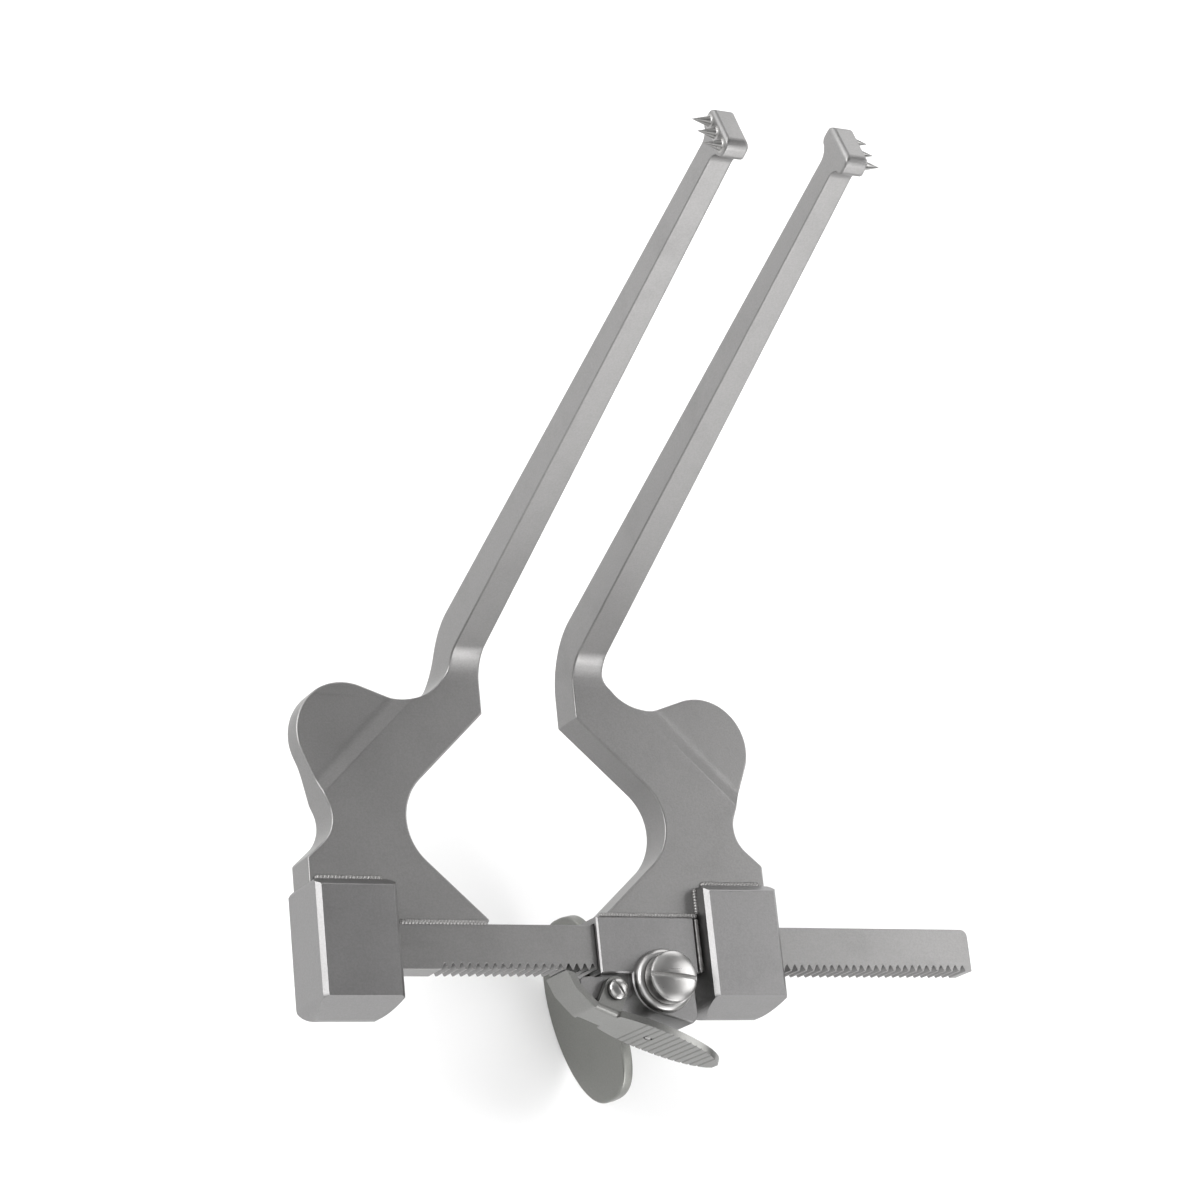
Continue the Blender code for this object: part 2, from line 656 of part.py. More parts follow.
def pinion(shop):
    """Eleven-tooth pinion with a journal at each end."""
    flank = involute_tooth()
    nearest = RACK_TEETH_START + round((PINION_X - RACK_TEETH_START) / PITCH) * PITCH
    phase = math.pi / 2 - (nearest - PINION_X) / PINION_RADIUS
    outline = []
    for tooth in range(PINION_TEETH):
        middle = phase + math.tau * tooth / PINION_TEETH
        for radius, half in flank:
            outline.append(Vector((radius * math.cos(middle - half), radius * math.sin(middle - half))))
        for radius, half in reversed(flank):
            outline.append(Vector((radius * math.cos(middle + half), radius * math.sin(middle + half))))
    item = shop.part("pinion", prism(outline, RACK_BACK, RACK_FRONT), shop.brushed)
    rear = KEY_FRONT + 1.5 * MM
    journal = revolve([(0, rear), (JOURNAL_RADIUS, rear), (JOURNAL_RADIUS, COLLAR_BACK + COLLAR_HEIGHT - 0.2 * MM),
                       (0, COLLAR_BACK + COLLAR_HEIGHT - 0.2 * MM)], 32)
    combine(item, shop.cutter("pinion_journal", journal), "UNION")
    tapped = prism(circle(SCREW_SHANK_RADIUS + GAP, 24), RACK_FRONT - 2.5 * MM, SCREW_BACK)
    combine(item, shop.cutter("pinion_tapped_hole", tapped))
    combine(item, shop.cutter("pinion_pin_bore", pin_solid(KEY_PIN_RADIUS + GAP, 8.0 * MM)))
    return item


def pin_solid(radius, half_length):
    """Cylinder across the pinion's axis, square to the key's plane."""
    solid = prism(circle(radius, 20), -half_length, half_length)
    across = Matrix.Rotation(KEY_ANGLE, 4, "Z") @ Matrix.Rotation(math.pi / 2, 4, "Y")
    place = Matrix.Translation((0, 0, pin_height())) @ across
    bmesh.ops.transform(solid, matrix=place, verts=solid.verts)
    return solid


def pin_height():
    """Z of the cross pin: half-way along the hub, behind the housing."""
    return (HOUSING_BACK + KEY_FRONT) / 2


def collar(shop):
    """Round-shouldered collar between the housing's face and the screw head."""
    bore = JOURNAL_RADIUS + GAP
    top = COLLAR_BACK + COLLAR_HEIGHT
    profile = [(bore, COLLAR_BACK), (COLLAR_RADIUS, COLLAR_BACK)]
    for step in range(5):
        angle = math.pi / 2 * step / 4
        profile.append((
            COLLAR_RADIUS - COLLAR_SHOULDER * (1 - math.cos(angle)),
            top - COLLAR_SHOULDER * (1 - math.sin(angle))))
    profile.append((bore, top))
    solid = revolve(profile, ROUND_STEPS, close=True)
    item = shop.part("pinion_collar", solid, shop.polished)
    shade_round(item)
    return item


def crowned_profile(radius, height, crown, shank_radius, shank):
    """Profile of a screw: shank below, cylinder head and a domed crown."""
    profile = [(0, -shank), (shank_radius, -shank), (shank_radius, 0), (radius, 0), (radius, height)]
    for step in range(1, 7):
        share = step / 6
        profile.append((radius * math.cos(share * math.pi / 2), height + crown * math.sin(share * math.pi / 2)))
    profile[-1] = (0, height + crown)
    return profile


def slot_cutter(width, low, high, reach, angle):
    """Straight screwdriver slot."""
    solid = prism([(-reach, -width / 2), (reach, -width / 2), (reach, width / 2), (-reach, width / 2)], low, high)
    bmesh.ops.rotate(solid, verts=solid.verts, matrix=Matrix.Rotation(angle, 3, "Z"))
    return solid


def pinion_screw(shop):
    """Large domed screw that holds the collar on the pinion."""
    shank = SCREW_BACK - RACK_FRONT + 2.0 * MM
    profile = crowned_profile(SCREW_RADIUS, SCREW_HEIGHT, SCREW_CROWN, SCREW_SHANK_RADIUS, shank)
    item = shop.part("pinion_screw", revolve(profile), shop.polished)
    top = SCREW_HEIGHT + SCREW_CROWN
    slot = slot_cutter(SCREW_SLOT, top - SCREW_SLOT_DEPTH, top + MM, SCREW_RADIUS + MM, SCREW_SLOT_ANGLE)
    cutter = shop.cutter("pinion_screw_slot", slot)
    combine(item, cutter)
    shade_round(item)
    return item, cutter


def key_outline():
    """(along, depth) outline of the key: squarer toward the housing, round behind."""
    outline = []
    steps = 56
    half_depth = KEY_DEPTH / 2
    for step in range(steps):
        angle = math.tau * step / steps
        along, depth = math.cos(angle), math.sin(angle)
        power = 2.0 / 3.0 if depth > 0 else 1.0
        along = math.copysign(abs(along) ** power, along)
        depth = math.copysign(abs(depth) ** power, depth)
        outline.append(Vector((KEY_LOBE_OFFSET + KEY_HALF_LENGTH * along, KEY_FRONT - half_depth + half_depth * depth)))
    return outline


def wing_key(shop):
    """Flat oval key with a hub on the pinion's rear journal."""
    solid = prism(key_outline(), -KEY_THICKNESS / 2, KEY_THICKNESS / 2)
    for vert in solid.verts:
        along, z, side = vert.co
        vert.co = (side, along, z)
    bmesh.ops.rotate(solid, verts=solid.verts, matrix=Matrix.Rotation(KEY_ANGLE, 3, "Z"))
    item = shop.part("wing_key", solid, shop.satin)
    front = HOUSING_BACK - GAP
    hub = revolve([(0, KEY_FRONT - 6.0 * MM), (1.0 * MM, KEY_FRONT - 6.0 * MM), (KEY_HUB_RADIUS, KEY_FRONT + 1.0 * MM),
                   (KEY_HUB_RADIUS, front), (0, front)], 40)
    combine(item, shop.cutter("key_hub", hub), "UNION")
    bore = prism(circle(JOURNAL_RADIUS + GAP, 32), KEY_FRONT + 1.5 * MM - GAP, front + MM)
    combine(item, shop.cutter("key_bore", bore))
    combine(item, shop.cutter("key_pin_bore", pin_solid(KEY_PIN_RADIUS + GAP, 8.0 * MM)))
    return item


def key_pin(shop):
    """Cross pin that ties the key's hub to the pinion."""
    return shop.part("key_pin", pin_solid(KEY_PIN_RADIUS, KEY_HUB_RADIUS - 0.1 * MM), shop.polished)


def pad_point(distance, rise):
    """XY of a point at a distance along the thumb pad and a rise above its underside."""
    along = Vector((math.cos(PAD_ANGLE), math.sin(PAD_ANGLE)))
    up = Vector((-along.y, along.x))
    return Vector((PAD_START_X, PAD_START_Y)) + along * distance + up * rise


def offset_path(path, distance):
    """Move a path sideways to its left by a distance, mitred at its corners."""
    moved = []
    for index, point in enumerate(path):
        normals = []
        if index > 0:
            along = (point - path[index - 1]).normalized()
            normals.append(Vector((-along.y, along.x)))
        if index < len(path) - 1:
            along = (path[index + 1] - point).normalized()
            normals.append(Vector((-along.y, along.x)))
        mitre = sum(normals, Vector((0, 0)))
        reach = mitre.dot(normals[0])
        moved.append(point + mitre * (distance / reach))
    return moved


def claw_profile():
    """Side profile of the claw and web: one bent sheet."""
    outer = [
        Vector((CLAW_X, TOOTH_TIP_Y - GAP)),
        Vector((CLAW_KNEE_X, CLAW_KNEE_Y)),
        Vector((CLAW_BEND_X, CLAW_BEND_Y)),
        Vector((PAD_START_X, PAD_START_Y)),
        pad_point(1.0 * MM, 0),
    ]
    inner = offset_path(outer, SHEET)
    down = (inner[1] - inner[0]).normalized()
    inner[0] += down * ((outer[0].y - CLAW_BEVEL - inner[0].y) / down.y)
    outer_radii = (0, 4.0 * MM, 1.8 * MM, 0, 0)
    inner_radii = (0, 2.8 * MM, 0.6 * MM, 0, 0)
    corners = [(*point, radius) for point, radius in zip(outer, outer_radii)]
    corners += [(*point, radius) for point, radius in reversed(list(zip(inner, inner_radii)))]
    return round_corners(corners)


def pad_solid():
    """Leaf-shaped thumb pad, truncated at its tip."""
    steps = 18
    upper, lower = [], []
    for step in range(steps + 1):
        share = step / steps
        half = PAD_HALF_WIDTH * math.sqrt(1 - ((share - 0.42) / 0.62) ** 2)
        distance = PAD_LENGTH * share
        upper.append(Vector((distance, half)))
        lower.append(Vector((distance, -half)))
    tip_round = [Vector((PAD_LENGTH + 0.7 * MM, 1.1 * MM)), Vector((PAD_LENGTH + 0.7 * MM, -1.1 * MM))]
    solid = prism(lower + tip_round[::-1] + upper[::-1], 0, SHEET)
    for vert in solid.verts:
        distance, across, rise = vert.co
        x, y = pad_point(distance, rise)
        vert.co = (x, y, RACK_MIDDLE_Z + across)
    return solid


def serration_cutter():
    """Row of V-shaped bars that groove the pad's underside."""
    solid = bmesh.new()
    half = 0.4 * MM
    for index in range(SERRATION_COUNT):
        middle = PAD_LENGTH - (1.2 * MM + index * SERRATION_PITCH)
        ring = [pad_point(middle - half, -0.2 * MM), pad_point(middle + half, -0.2 * MM),
                pad_point(middle, SERRATION_DEPTH)]
        ends = []
        for z in (PAWL_BACK - 6 * MM, PAWL_FRONT + 6 * MM):
            ends.append([solid.verts.new((*point, z)) for point in ring])
        solid.faces.new(ends[0])
        solid.faces.new(ends[1])
        for corner in range(3):
            other = (corner + 1) % 3
            solid.faces.new((ends[0][corner], ends[0][other], ends[1][other], ends[1][corner]))
    return solid


def web_point(distance, rise):
    """XY of a point along the web, from its bend at the claw, and a rise above its underside."""
    bend = Vector((CLAW_BEND_X, CLAW_BEND_Y))
    along = (Vector((PAD_START_X, PAD_START_Y)) - bend).normalized()
    return bend + along * distance + Vector((-along.y, along.x)) * rise


def bend_cutter(face_z, inward):
    """Corner piece that leaves a round bend between the web and an ear."""
    spare = 0.3 * MM
    outline = [(-spare, -spare), (EAR_BEND, -spare)]
    for step in range(7):
        angle = math.pi / 2 * step / 6
        outline.append((EAR_BEND * (1 - math.sin(angle)), EAR_BEND * (1 - math.cos(angle))))
    outline.append((-spare, EAR_BEND))
    solid = prism(outline, WEB_EAR_START, WEB_EAR_START + WEB_EAR_WIDTH)
    for vert in solid.verts:
        rise, depth, distance = vert.co
        x, y = web_point(distance, rise)
        vert.co = (x, y, face_z + inward * depth)
    return solid


def pawl_ears():
    """Outline of the two ears that straddle the lug."""
    pivot = Vector((PIVOT_X, PIVOT_Y))
    outline = [web_point(WEB_EAR_START, 0), web_point(WEB_EAR_START + WEB_EAR_WIDTH, 0)]
    for step in range(15):
        angle = math.radians(-10 + 175 * step / 14)
        outline.append(pivot + Vector((math.cos(angle), math.sin(angle))) * PAWL_EAR_RADIUS)
    return outline


def pawl_lever(shop):
    """Bent pawl: claw, web, two ears on the pivot and a serrated thumb pad."""
    item = shop.part("pawl_lever", prism(claw_profile(), PAWL_BACK, PAWL_FRONT), shop.satin)
    ears = {
        "front": (PAWL_FRONT - EAR_SHEET, PAWL_FRONT - 0.02 * MM),
        "back": (PAWL_BACK + 0.02 * MM, PAWL_BACK + EAR_SHEET),
    }
    for name, (low, high) in ears.items():
        combine(item, shop.cutter(f"pawl_{name}_ear", prism(pawl_ears(), low, high)), "UNION")
    for name, face_z, inward in (("front", PAWL_FRONT, -1), ("back", PAWL_BACK, 1)):
        combine(item, shop.cutter(f"pawl_{name}_bend", bend_cutter(face_z, inward)))
    combine(item, shop.cutter("pawl_pad", pad_solid()), "UNION")
    combine(item, shop.cutter("pawl_serrations", serration_cutter()))
    bore = prism(circle(PAWL_PIN_RADIUS + GAP, 24, (PIVOT_X, PIVOT_Y)), PAWL_BACK - MM, PAWL_FRONT + MM)
    combine(item, shop.cutter("pawl_pivot_bore", bore))
    rivet_bore = rivet_solid(RIVET_RADIUS + GAP, -MM, SHEET + MM)
    combine(item, shop.cutter("pawl_rivet_bore", rivet_bore))
    return item


def rivet_solid(radius, low, high):
    """Cylinder square to the pad, on its centre line."""
    solid = prism(circle(radius, 20), low, high)
    foot = pad_point(RIVET_DISTANCE, 0)
    along = Vector((math.cos(PAD_ANGLE), math.sin(PAD_ANGLE)))
    up = Vector((-along.y, along.x))
    for vert in solid.verts:
        a, b, rise = vert.co
        place = foot + along * a + up * rise
        vert.co = (place.x, place.y, RACK_MIDDLE_Z + b)
    return solid


def spring_rivet(shop):
    """Rivet that holds the leaf spring on the pad."""
    head = GAP + SPRING_THICKNESS
    return shop.part("spring_rivet", rivet_solid(RIVET_RADIUS, 0.02 * MM, SHEET + head + RIVET_HEAD), shop.polished)


def leaf_spring(shop):
    """Folded leaf between the thumb pad and the pinion case."""
    low = SHEET + GAP
    path = [pad_point(RIVET_DISTANCE + 1.6 * MM, low), pad_point(SPRING_FOLD_DISTANCE, low)]
    fold = pad_point(SPRING_FOLD_DISTANCE, low + SPRING_FOLD_RADIUS)
    for step in range(1, 8):
        angle = PAD_ANGLE - math.pi / 2 - math.pi * step / 8
        path.append(fold + Vector((math.cos(angle), math.sin(angle))) * SPRING_FOLD_RADIUS)
    path.append(pad_point(SPRING_FOLD_DISTANCE + 3.0 * MM, low + SPRING_RISE))
    outline = path + offset_path(path, -SPRING_THICKNESS)[::-1]
    half = SPRING_WIDTH / 2
    item = shop.part("leaf_spring", prism(outline, RACK_MIDDLE_Z - half, RACK_MIDDLE_Z + half), shop.spring)
    bore = rivet_solid(RIVET_RADIUS + GAP, SHEET, SHEET + 0.9 * MM)
    combine(item, shop.cutter("spring_rivet_bore", bore))
    return item


def pivot_screw(shop):
    """Slotted screw that the pawl turns on, fixed in the housing's lug."""
    seat = PAWL_FRONT + GAP
    shank = seat - PAWL_BACK + 0.2 * MM
    profile = crowned_profile(PAWL_HEAD_RADIUS, 0.4 * MM, 0.7 * MM, PAWL_PIN_RADIUS, shank)
    item = shop.part("pivot_screw", revolve(profile, 32), shop.polished)
    slot = slot_cutter(0.4 * MM, 0.55 * MM, 2.0 * MM, PAWL_HEAD_RADIUS + MM, math.radians(-55))
    cutter = shop.cutter("pivot_screw_slot", slot)
    combine(item, cutter)
    shade_round(item)
    for piece in (item, cutter):
        piece.location = (PIVOT_X, PIVOT_Y, seat)
    return item


def bead(radius, low, high, steps=12):
    """Quarter-round weld bead along X, in the corner of a +Y and a +Z face."""
    outline = [Vector((0, 0))]
    for step in range(steps + 1):
        angle = math.pi / 2 * step / steps
        outline.append(Vector((radius * math.cos(angle), radius * math.sin(angle))))
    return side_prism(outline, low, high)


def welds(shop):
    """Weld beads that join the plates to the blocks and the housing."""
    half = TONGUE_WIDTH / 2
    for side, middle in (("left", 0.0), ("right", BLOCK_SPACING)):
        item = shop.part(f"{side}_block_weld", bead(BLOCK_WELD, middle - half, middle + half, 8), shop.satin)
        item.location = (0, BLOCK_SHOULDER + GAP, PLATE_FRONT + GAP)
    top = shop.part("housing_top_weld", bead(HOUSING_WELD, HOUSING_LEFT + MM, HOUSING_RIGHT - MM, 8), shop.satin)
    top.location = (0, HOUSING_TOP + GAP, PLATE_FRONT + GAP)
    left = HOUSING_RIGHT + GAP
    right = BLOCK_SPACING - BLOCK_WIDTH / 2 - GAP
    crown = (right - left) / 2
    face = HOUSING_FRONT - crown
    outline = [Vector((left, TUNNEL_FRONT)), Vector((right, TUNNEL_FRONT))]
    for step in range(9):
        angle = math.pi * step / 8
        outline.append(Vector(((left + right) / 2 + crown * math.cos(angle), face + crown * math.sin(angle))))
    strip = prism(outline, TOOTH_TIP_Y, HOUSING_TOP)
    for vert in strip.verts:
        x, z, y = vert.co
        vert.co = (x, y, z)
    shop.part("housing_side_weld", strip, shop.satin)


def place_on_axis(items, point):
    """Set pieces that are modelled about the Z axis on their joint's axis."""
    for item in items:
        item.location.x = point[0]
        item.location.y = point[1]


def set_origin(item, point):
    """Put a piece's origin on its joint's axis and leave the shape where it is."""
    offset = Vector(point)
    item.data.transform(Matrix.Translation(-offset))
    item.location = offset


def build():
    """Build every sub-part."""
    clear_scene()
    shop = Workshop()
    for side in ("left", "right"):
        arm(shop, side)
        block(shop, side)
        spikes(shop, side)
    rack_bar(shop)
    housing(shop)
    before = set(bpy.data.objects)
    pinion(shop)
    collar(shop)
    screw, slot = pinion_screw(shop)
    for piece in (screw, slot):
        piece.location.z = SCREW_BACK
    wing_key(shop)
    key_pin(shop)
    turning = [item for item in bpy.data.objects if item not in before]
    place_on_axis(turning, (PINION_X, PINION_Y))
    lever = pawl_lever(shop)
    set_origin(lever, (PIVOT_X, PIVOT_Y, RACK_MIDDLE_Z))
    leaf_spring(shop)
    spring_rivet(shop)
    pivot_screw(shop)
    welds(shop)


build()
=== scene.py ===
"""Looks of the lamina spreader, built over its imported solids.

The frame is the part's own: X along the rack, Y up the plates, Z out of the front.
All sizes are metres.
"""
from __future__ import annotations

import logging
import math
from dataclasses import dataclass, field
from enum import Enum

import bmesh
import bpy
import numpy as np
from mathutils import Matrix, Vector


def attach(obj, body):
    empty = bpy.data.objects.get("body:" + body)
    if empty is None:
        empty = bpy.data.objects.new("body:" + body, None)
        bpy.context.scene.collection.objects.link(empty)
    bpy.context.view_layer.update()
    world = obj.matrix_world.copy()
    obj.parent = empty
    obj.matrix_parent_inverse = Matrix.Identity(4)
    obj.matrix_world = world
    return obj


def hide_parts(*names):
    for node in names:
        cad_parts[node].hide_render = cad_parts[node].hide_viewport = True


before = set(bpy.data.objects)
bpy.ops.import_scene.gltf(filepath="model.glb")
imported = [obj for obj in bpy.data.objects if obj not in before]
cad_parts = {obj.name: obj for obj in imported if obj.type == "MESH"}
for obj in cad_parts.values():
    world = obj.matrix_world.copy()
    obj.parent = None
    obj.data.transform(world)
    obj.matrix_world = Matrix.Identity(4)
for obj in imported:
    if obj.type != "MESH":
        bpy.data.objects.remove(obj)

LOG = logging.getLogger("lamina_spreader")
MM = 0.001
Array = np.ndarray
Corner = tuple[float, float, float]
Surface = tuple[Array, list[list[int]]]


class Side(Enum):
    """Which of the two mirrored arms a piece belongs to."""

    LEFT = "left"
    RIGHT = "right"

    @property
    def body(self) -> str:
        """The moving body that this arm is part of."""
        return "fixed_frame" if self is Side.LEFT else "carriage"


class Slot(Enum):
    """Material slots of the part."""

    SATIN = "satin_steel"
    BRUSHED = "brushed_steel"
    POLISHED = "polished_steel"
    SPRING = "spring_steel"


# Curves and surfaces


def corner_arc(before: Corner, here: Corner, after: Corner, step: float) -> Array:
    """Points of the arc that rounds one corner, or the corner itself.

    The arc's centre lies on the corner's bisector, at the radius over the sine of half
    the corner's angle.

    Args:
        before: the corner that comes first.
        here: the corner that is rounded.
        after: the corner that comes next.
        step: largest turn between two points.

    Returns:
        Points of the arc.
    """
    middle = np.array(here[:2])
    radius = here[2]
    if radius <= 0:
        return middle[None, :]
    back = np.array(before[:2]) - middle
    forth = np.array(after[:2]) - middle
    back /= np.linalg.norm(back)
    forth /= np.linalg.norm(forth)
    half = math.acos(float(np.clip(back @ forth, -1, 1))) / 2
    bisector = (back + forth) / np.linalg.norm(back + forth)
    centre = middle + bisector * (radius / math.sin(half))
    start = middle + back * (radius / math.tan(half)) - centre
    sweep = math.pi - 2 * half
    if back[0] * forth[1] - back[1] * forth[0] > 0:
        sweep = -sweep
    turns = np.linspace(0, sweep, max(3, math.ceil(abs(sweep) / step) + 1))
    cosine, sine = np.cos(turns), np.sin(turns)
    across = cosine * start[0] - sine * start[1]
    up = sine * start[0] + cosine * start[1]
    return centre + np.stack([across, up], axis=1)


def rounded(corners: list[Corner], step: float = math.radians(15)) -> Array:
    """Path with an arc at each rounded corner; both of its ends have no radius.

    Args:
        corners: x, y and radius of each corner, in order.
        step: largest turn between two points of an arc.

    Returns:
        Points of the path, one row each.
    """
    befores = [corners[-1], *corners[:-1]]
    afters = [*corners[1:], corners[0]]
    return np.concatenate([corner_arc(*group, step) for group in zip(befores, corners, afters)])


def rounded_outline(corners: list[Corner]) -> Array:
    """Closed outline with rounded corners, counter-clockwise."""
    outline = rounded(corners, math.radians(4))
    return outline if signed_area(outline) > 0 else outline[::-1].copy()


def signed_area(outline: Array) -> float:
    """Area of a closed outline, positive where it runs counter-clockwise."""
    ahead = np.roll(outline, -1, axis=0)
    return float(np.sum(outline[:, 0] * ahead[:, 1] - outline[:, 1] * ahead[:, 0]) / 2)


def inset(outline: Array, distance: float) -> Array:
    """Outline moved inward.

    Each point moves along the sum of its two edges' inward normals over one plus their
    dot product, so every edge moves by the same distance.

    Args:
        outline: counter-clockwise points.
        distance: how far each edge moves.

    Returns:
        The moved points.
    """
    ahead = np.roll(outline, -1, axis=0) - outline
    ahead /= np.linalg.norm(ahead, axis=1, keepdims=True)
    normal = np.stack([-ahead[:, 1], ahead[:, 0]], axis=1)
    other = np.roll(normal, 1, axis=0)
    share = 1 + np.sum(normal * other, axis=1, keepdims=True)
    return outline + (normal + other) / share * distance


def stack_rings(rings: Array) -> Surface:
    """Closed surface through rings of equal length, with a flat cap on each end.

    Args:
        rings: array of rings, points and coordinates.  Each ring runs counter-clockwise
            seen from the first ring's side.

    Returns:
        Points and faces.
    """
    count, around = rings.shape[:2]
    index = np.arange(count * around).reshape(count, around)
    here, below = index[:-1], index[1:]
    quads = np.stack([here, below, np.roll(below, -1, axis=1), np.roll(here, -1, axis=1)], axis=-1)
    faces = quads.reshape(-1, 4).tolist()
    faces.append(index[0].tolist())
    faces.append(index[-1][::-1].tolist())
    return rings.reshape(-1, 3), faces


def slab(outline: Array, half: float, radius: float, segments: int = 4) -> Surface:
    """Flat plate with rounded rims.

    Down the rim, the inset is the radius times one minus a sine, and the height is the
    half thickness less the radius times one minus the cosine of the same angle.

    Args:
        outline: counter-clockwise outline in XY.
        half: half the thickness, along Z.
        radius: radius of the rims.
        segments: steps of each rim's quarter turn.

    Returns:
        Points and faces.
    """
    angles = np.linspace(0, math.pi / 2, segments + 1)
    insets = radius * (1 - np.sin(angles))
    heights = half - radius * (1 - np.cos(angles))
    insets = np.concatenate([insets, insets[::-1]])
    heights = np.concatenate([heights, -heights[::-1]])
    rings = [np.column_stack([inset(outline, gap), np.full(len(outline), height)])
             for gap, height in zip(insets, heights)]
    return stack_rings(np.array(rings))


def revolve(profile: Array, steps: int = 96) -> Surface:
    """Surface of revolution about Z.

    A point at radius r and height z goes to (r cos t, r sin t, z) at each turn t.

    Args:
        profile: radius and height of each point, from the top down the outer side.
        steps: points around.

    Returns:
        Points and faces.
    """
    turns = np.linspace(0, math.tau, steps, endpoint=False)
    radius, height = profile[:, :1], profile[:, 1:]
    rings = np.stack([
        radius * np.cos(turns),
        radius * np.sin(turns),
        np.repeat(height, steps, axis=1),
    ], axis=-1)
    return stack_rings(rings)


def weld_bead(start: Array, end: Array, radius: float, ripples: int, seed: int) -> Surface:
    """Rippled bead of weld along a straight line.

    Its radius at a share t of the way is the bead's radius, times a cap that falls to
    nothing at both ends, times one less a share of how far |cos| of the ripples has
    dropped, with a slow wander on top.

    Args:
        start: middle of the bead's first end.
        end: middle of its last end.
        radius: radius of the bead.
        ripples: number of ripples.
        seed: chooses the wander.

    Returns:
        Points and faces.
    """
    rows, around = ripples * 10 + 1, 20
    share = np.linspace(0, 1, rows)
    length = float(np.linalg.norm(end - start))
    cap_share = radius / length
    cap = np.sqrt(np.clip(1 - np.clip(1 - np.minimum(share, 1 - share) / cap_share, 0, 1) ** 2, 0.0004, 1))
    chance = np.random.default_rng(seed)
    knots = np.linspace(0, 1, ripples // 2 + 2)
    wander = np.interp(share, knots, chance.uniform(-1, 1, len(knots)))
    drift = np.interp(share, knots, chance.uniform(-1, 1, len(knots)))
    ripple = 1 - 0.20 * (1 - np.sqrt(np.abs(np.cos(math.pi * ripples * share))))
    size = radius * cap * ripple * (1 + 0.07 * wander)
    along = (end - start) / length
    side = np.cross(along, [0.0, 0.0, 1.0])
    side /= np.linalg.norm(side)
    up = np.cross(side, along)
    turns = np.linspace(0, math.tau, around, endpoint=False)
    line = start + np.outer(share, end - start) + np.outer(drift * radius * 0.07, side)
    ring = np.cos(turns)[:, None] * side + np.sin(turns)[:, None] * up
    rings = line[:, None, :] + size[:, None, None] * ring[None, :, :]
    return stack_rings(rings[::-1])


# Finished pieces


def new_mesh(name: str, points: Array, faces: list[list[int]]) -> bpy.types.Object:
    """Put points and faces into a new object at the origin."""
    mesh = bpy.data.meshes.new(name)
    mesh.from_pydata(points.tolist(), [], faces)
    mesh.update()
    item = bpy.data.objects.new(name, mesh)
    bpy.context.scene.collection.objects.link(item)
    return item


def read_points(item: bpy.types.Object) -> Array:
    """Points of an object's mesh, one row each."""
    flat = np.empty(len(item.data.vertices) * 3)
    item.data.vertices.foreach_get("co", flat)
    return flat.reshape(-1, 3)


def write_points(item: bpy.types.Object, points: Array) -> None:
    """Put changed points back into an object's mesh."""
    item.data.vertices.foreach_set("co", points.astype(np.float32).ravel())
    item.data.update()


def slice_mesh(item: bpy.types.Object, planes: list[tuple[Vector, Vector]]) -> None:
    """Cut the faces of a mesh along planes, so that it can bend there.

    Args:
        item: the object whose mesh is cut.
        planes: a point and a normal of each plane.
    """
    solid = bmesh.new()
    solid.from_mesh(item.data)
    for point, normal in planes:
        geometry = solid.verts[:] + solid.edges[:] + solid.faces[:]
        bmesh.ops.bisect_plane(solid, geom=geometry, plane_co=point, plane_no=normal, dist=1e-7)
    solid.to_mesh(item.data)
    solid.free()


def face_outward(item: bpy.types.Object) -> None:
    """Merge doubled points and turn every face outward.

    Args:
        item: the object whose mesh is mended.
    """
    solid = bmesh.new()
    solid.from_mesh(item.data)
    bmesh.ops.remove_doubles(solid, verts=solid.verts, dist=1e-6)
    solid.normal_update()
    bmesh.ops.recalc_face_normals(solid, faces=solid.faces)
    if solid.calc_volume(signed=True) < 0:
        bmesh.ops.reverse_faces(solid, faces=solid.faces)
    solid.to_mesh(item.data)
    solid.free()


def shade(item: bpy.types.Object, angle: float = math.radians(26)) -> None:
    """Smooth shading with sharp edges, and normals that follow the large faces."""
    item.data.polygons.foreach_set("use_smooth", np.ones(len(item.data.polygons), dtype=bool))
    item.data.set_sharp_from_angle(angle=angle)
    weighted = item.modifiers.new("face_weighted_normals", "WEIGHTED_NORMAL")
    weighted.keep_sharp = True
    weighted.weight = 80


def settle(
    item: bpy.types.Object,
    body: str,
    finish: bpy.types.Material,
    nodes: list[str],
) -> None:
    """Dress a piece and fix it to its body.

    Args:
        item: the finished piece.
        body: the moving body that carries it.
        finish: the material.
        nodes: the part's nodes that the piece stands for.
    """
    item.data.materials.clear()
    item.data.materials.append(finish)
    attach(item, body)
    if nodes:
        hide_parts(*nodes)
    LOG.info("built %s on %s", item.name, body)


def refine(node: str, name: str, bevel: float) -> bpy.types.Object:
    """Copy a solid, join its flat faces and soften its edges.

    Args:
        node: the part's node.
        name: name of the new piece.
        bevel: width of the softened edges.

    Returns:
        The new piece.
    """
    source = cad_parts[node]
    item = bpy.data.objects.new(name, source.data.copy())
    bpy.context.scene.collection.objects.link(item)
    item.data.materials.clear()
    solid = bmesh.new()
    solid.from_mesh(item.data)
    bmesh.ops.remove_doubles(solid, verts=solid.verts, dist=2e-6)
    bmesh.ops.dissolve_limit(solid, angle_limit=math.radians(1), verts=solid.verts, edges=solid.edges)
    bmesh.ops.dissolve_degenerate(solid, dist=2e-6, edges=solid.edges)
    for face in solid.faces:
        face.smooth = True
    solid.to_mesh(item.data)
    solid.free()
    if "custom_normal" in item.data.attributes:
        item.data.attributes.remove(item.data.attributes["custom_normal"])
    rim = item.modifiers.new("softened_edges", "BEVEL")
    rim.width = bevel
    rim.segments = 2
    rim.limit_method = "ANGLE"
    rim.angle_limit = math.radians(28)
    rim.harden_normals = False
    weighted = item.modifiers.new("face_weighted_normals", "WEIGHTED_NORMAL")
    weighted.keep_sharp = False
    weighted.weight = 80
    return item


# Shader groups


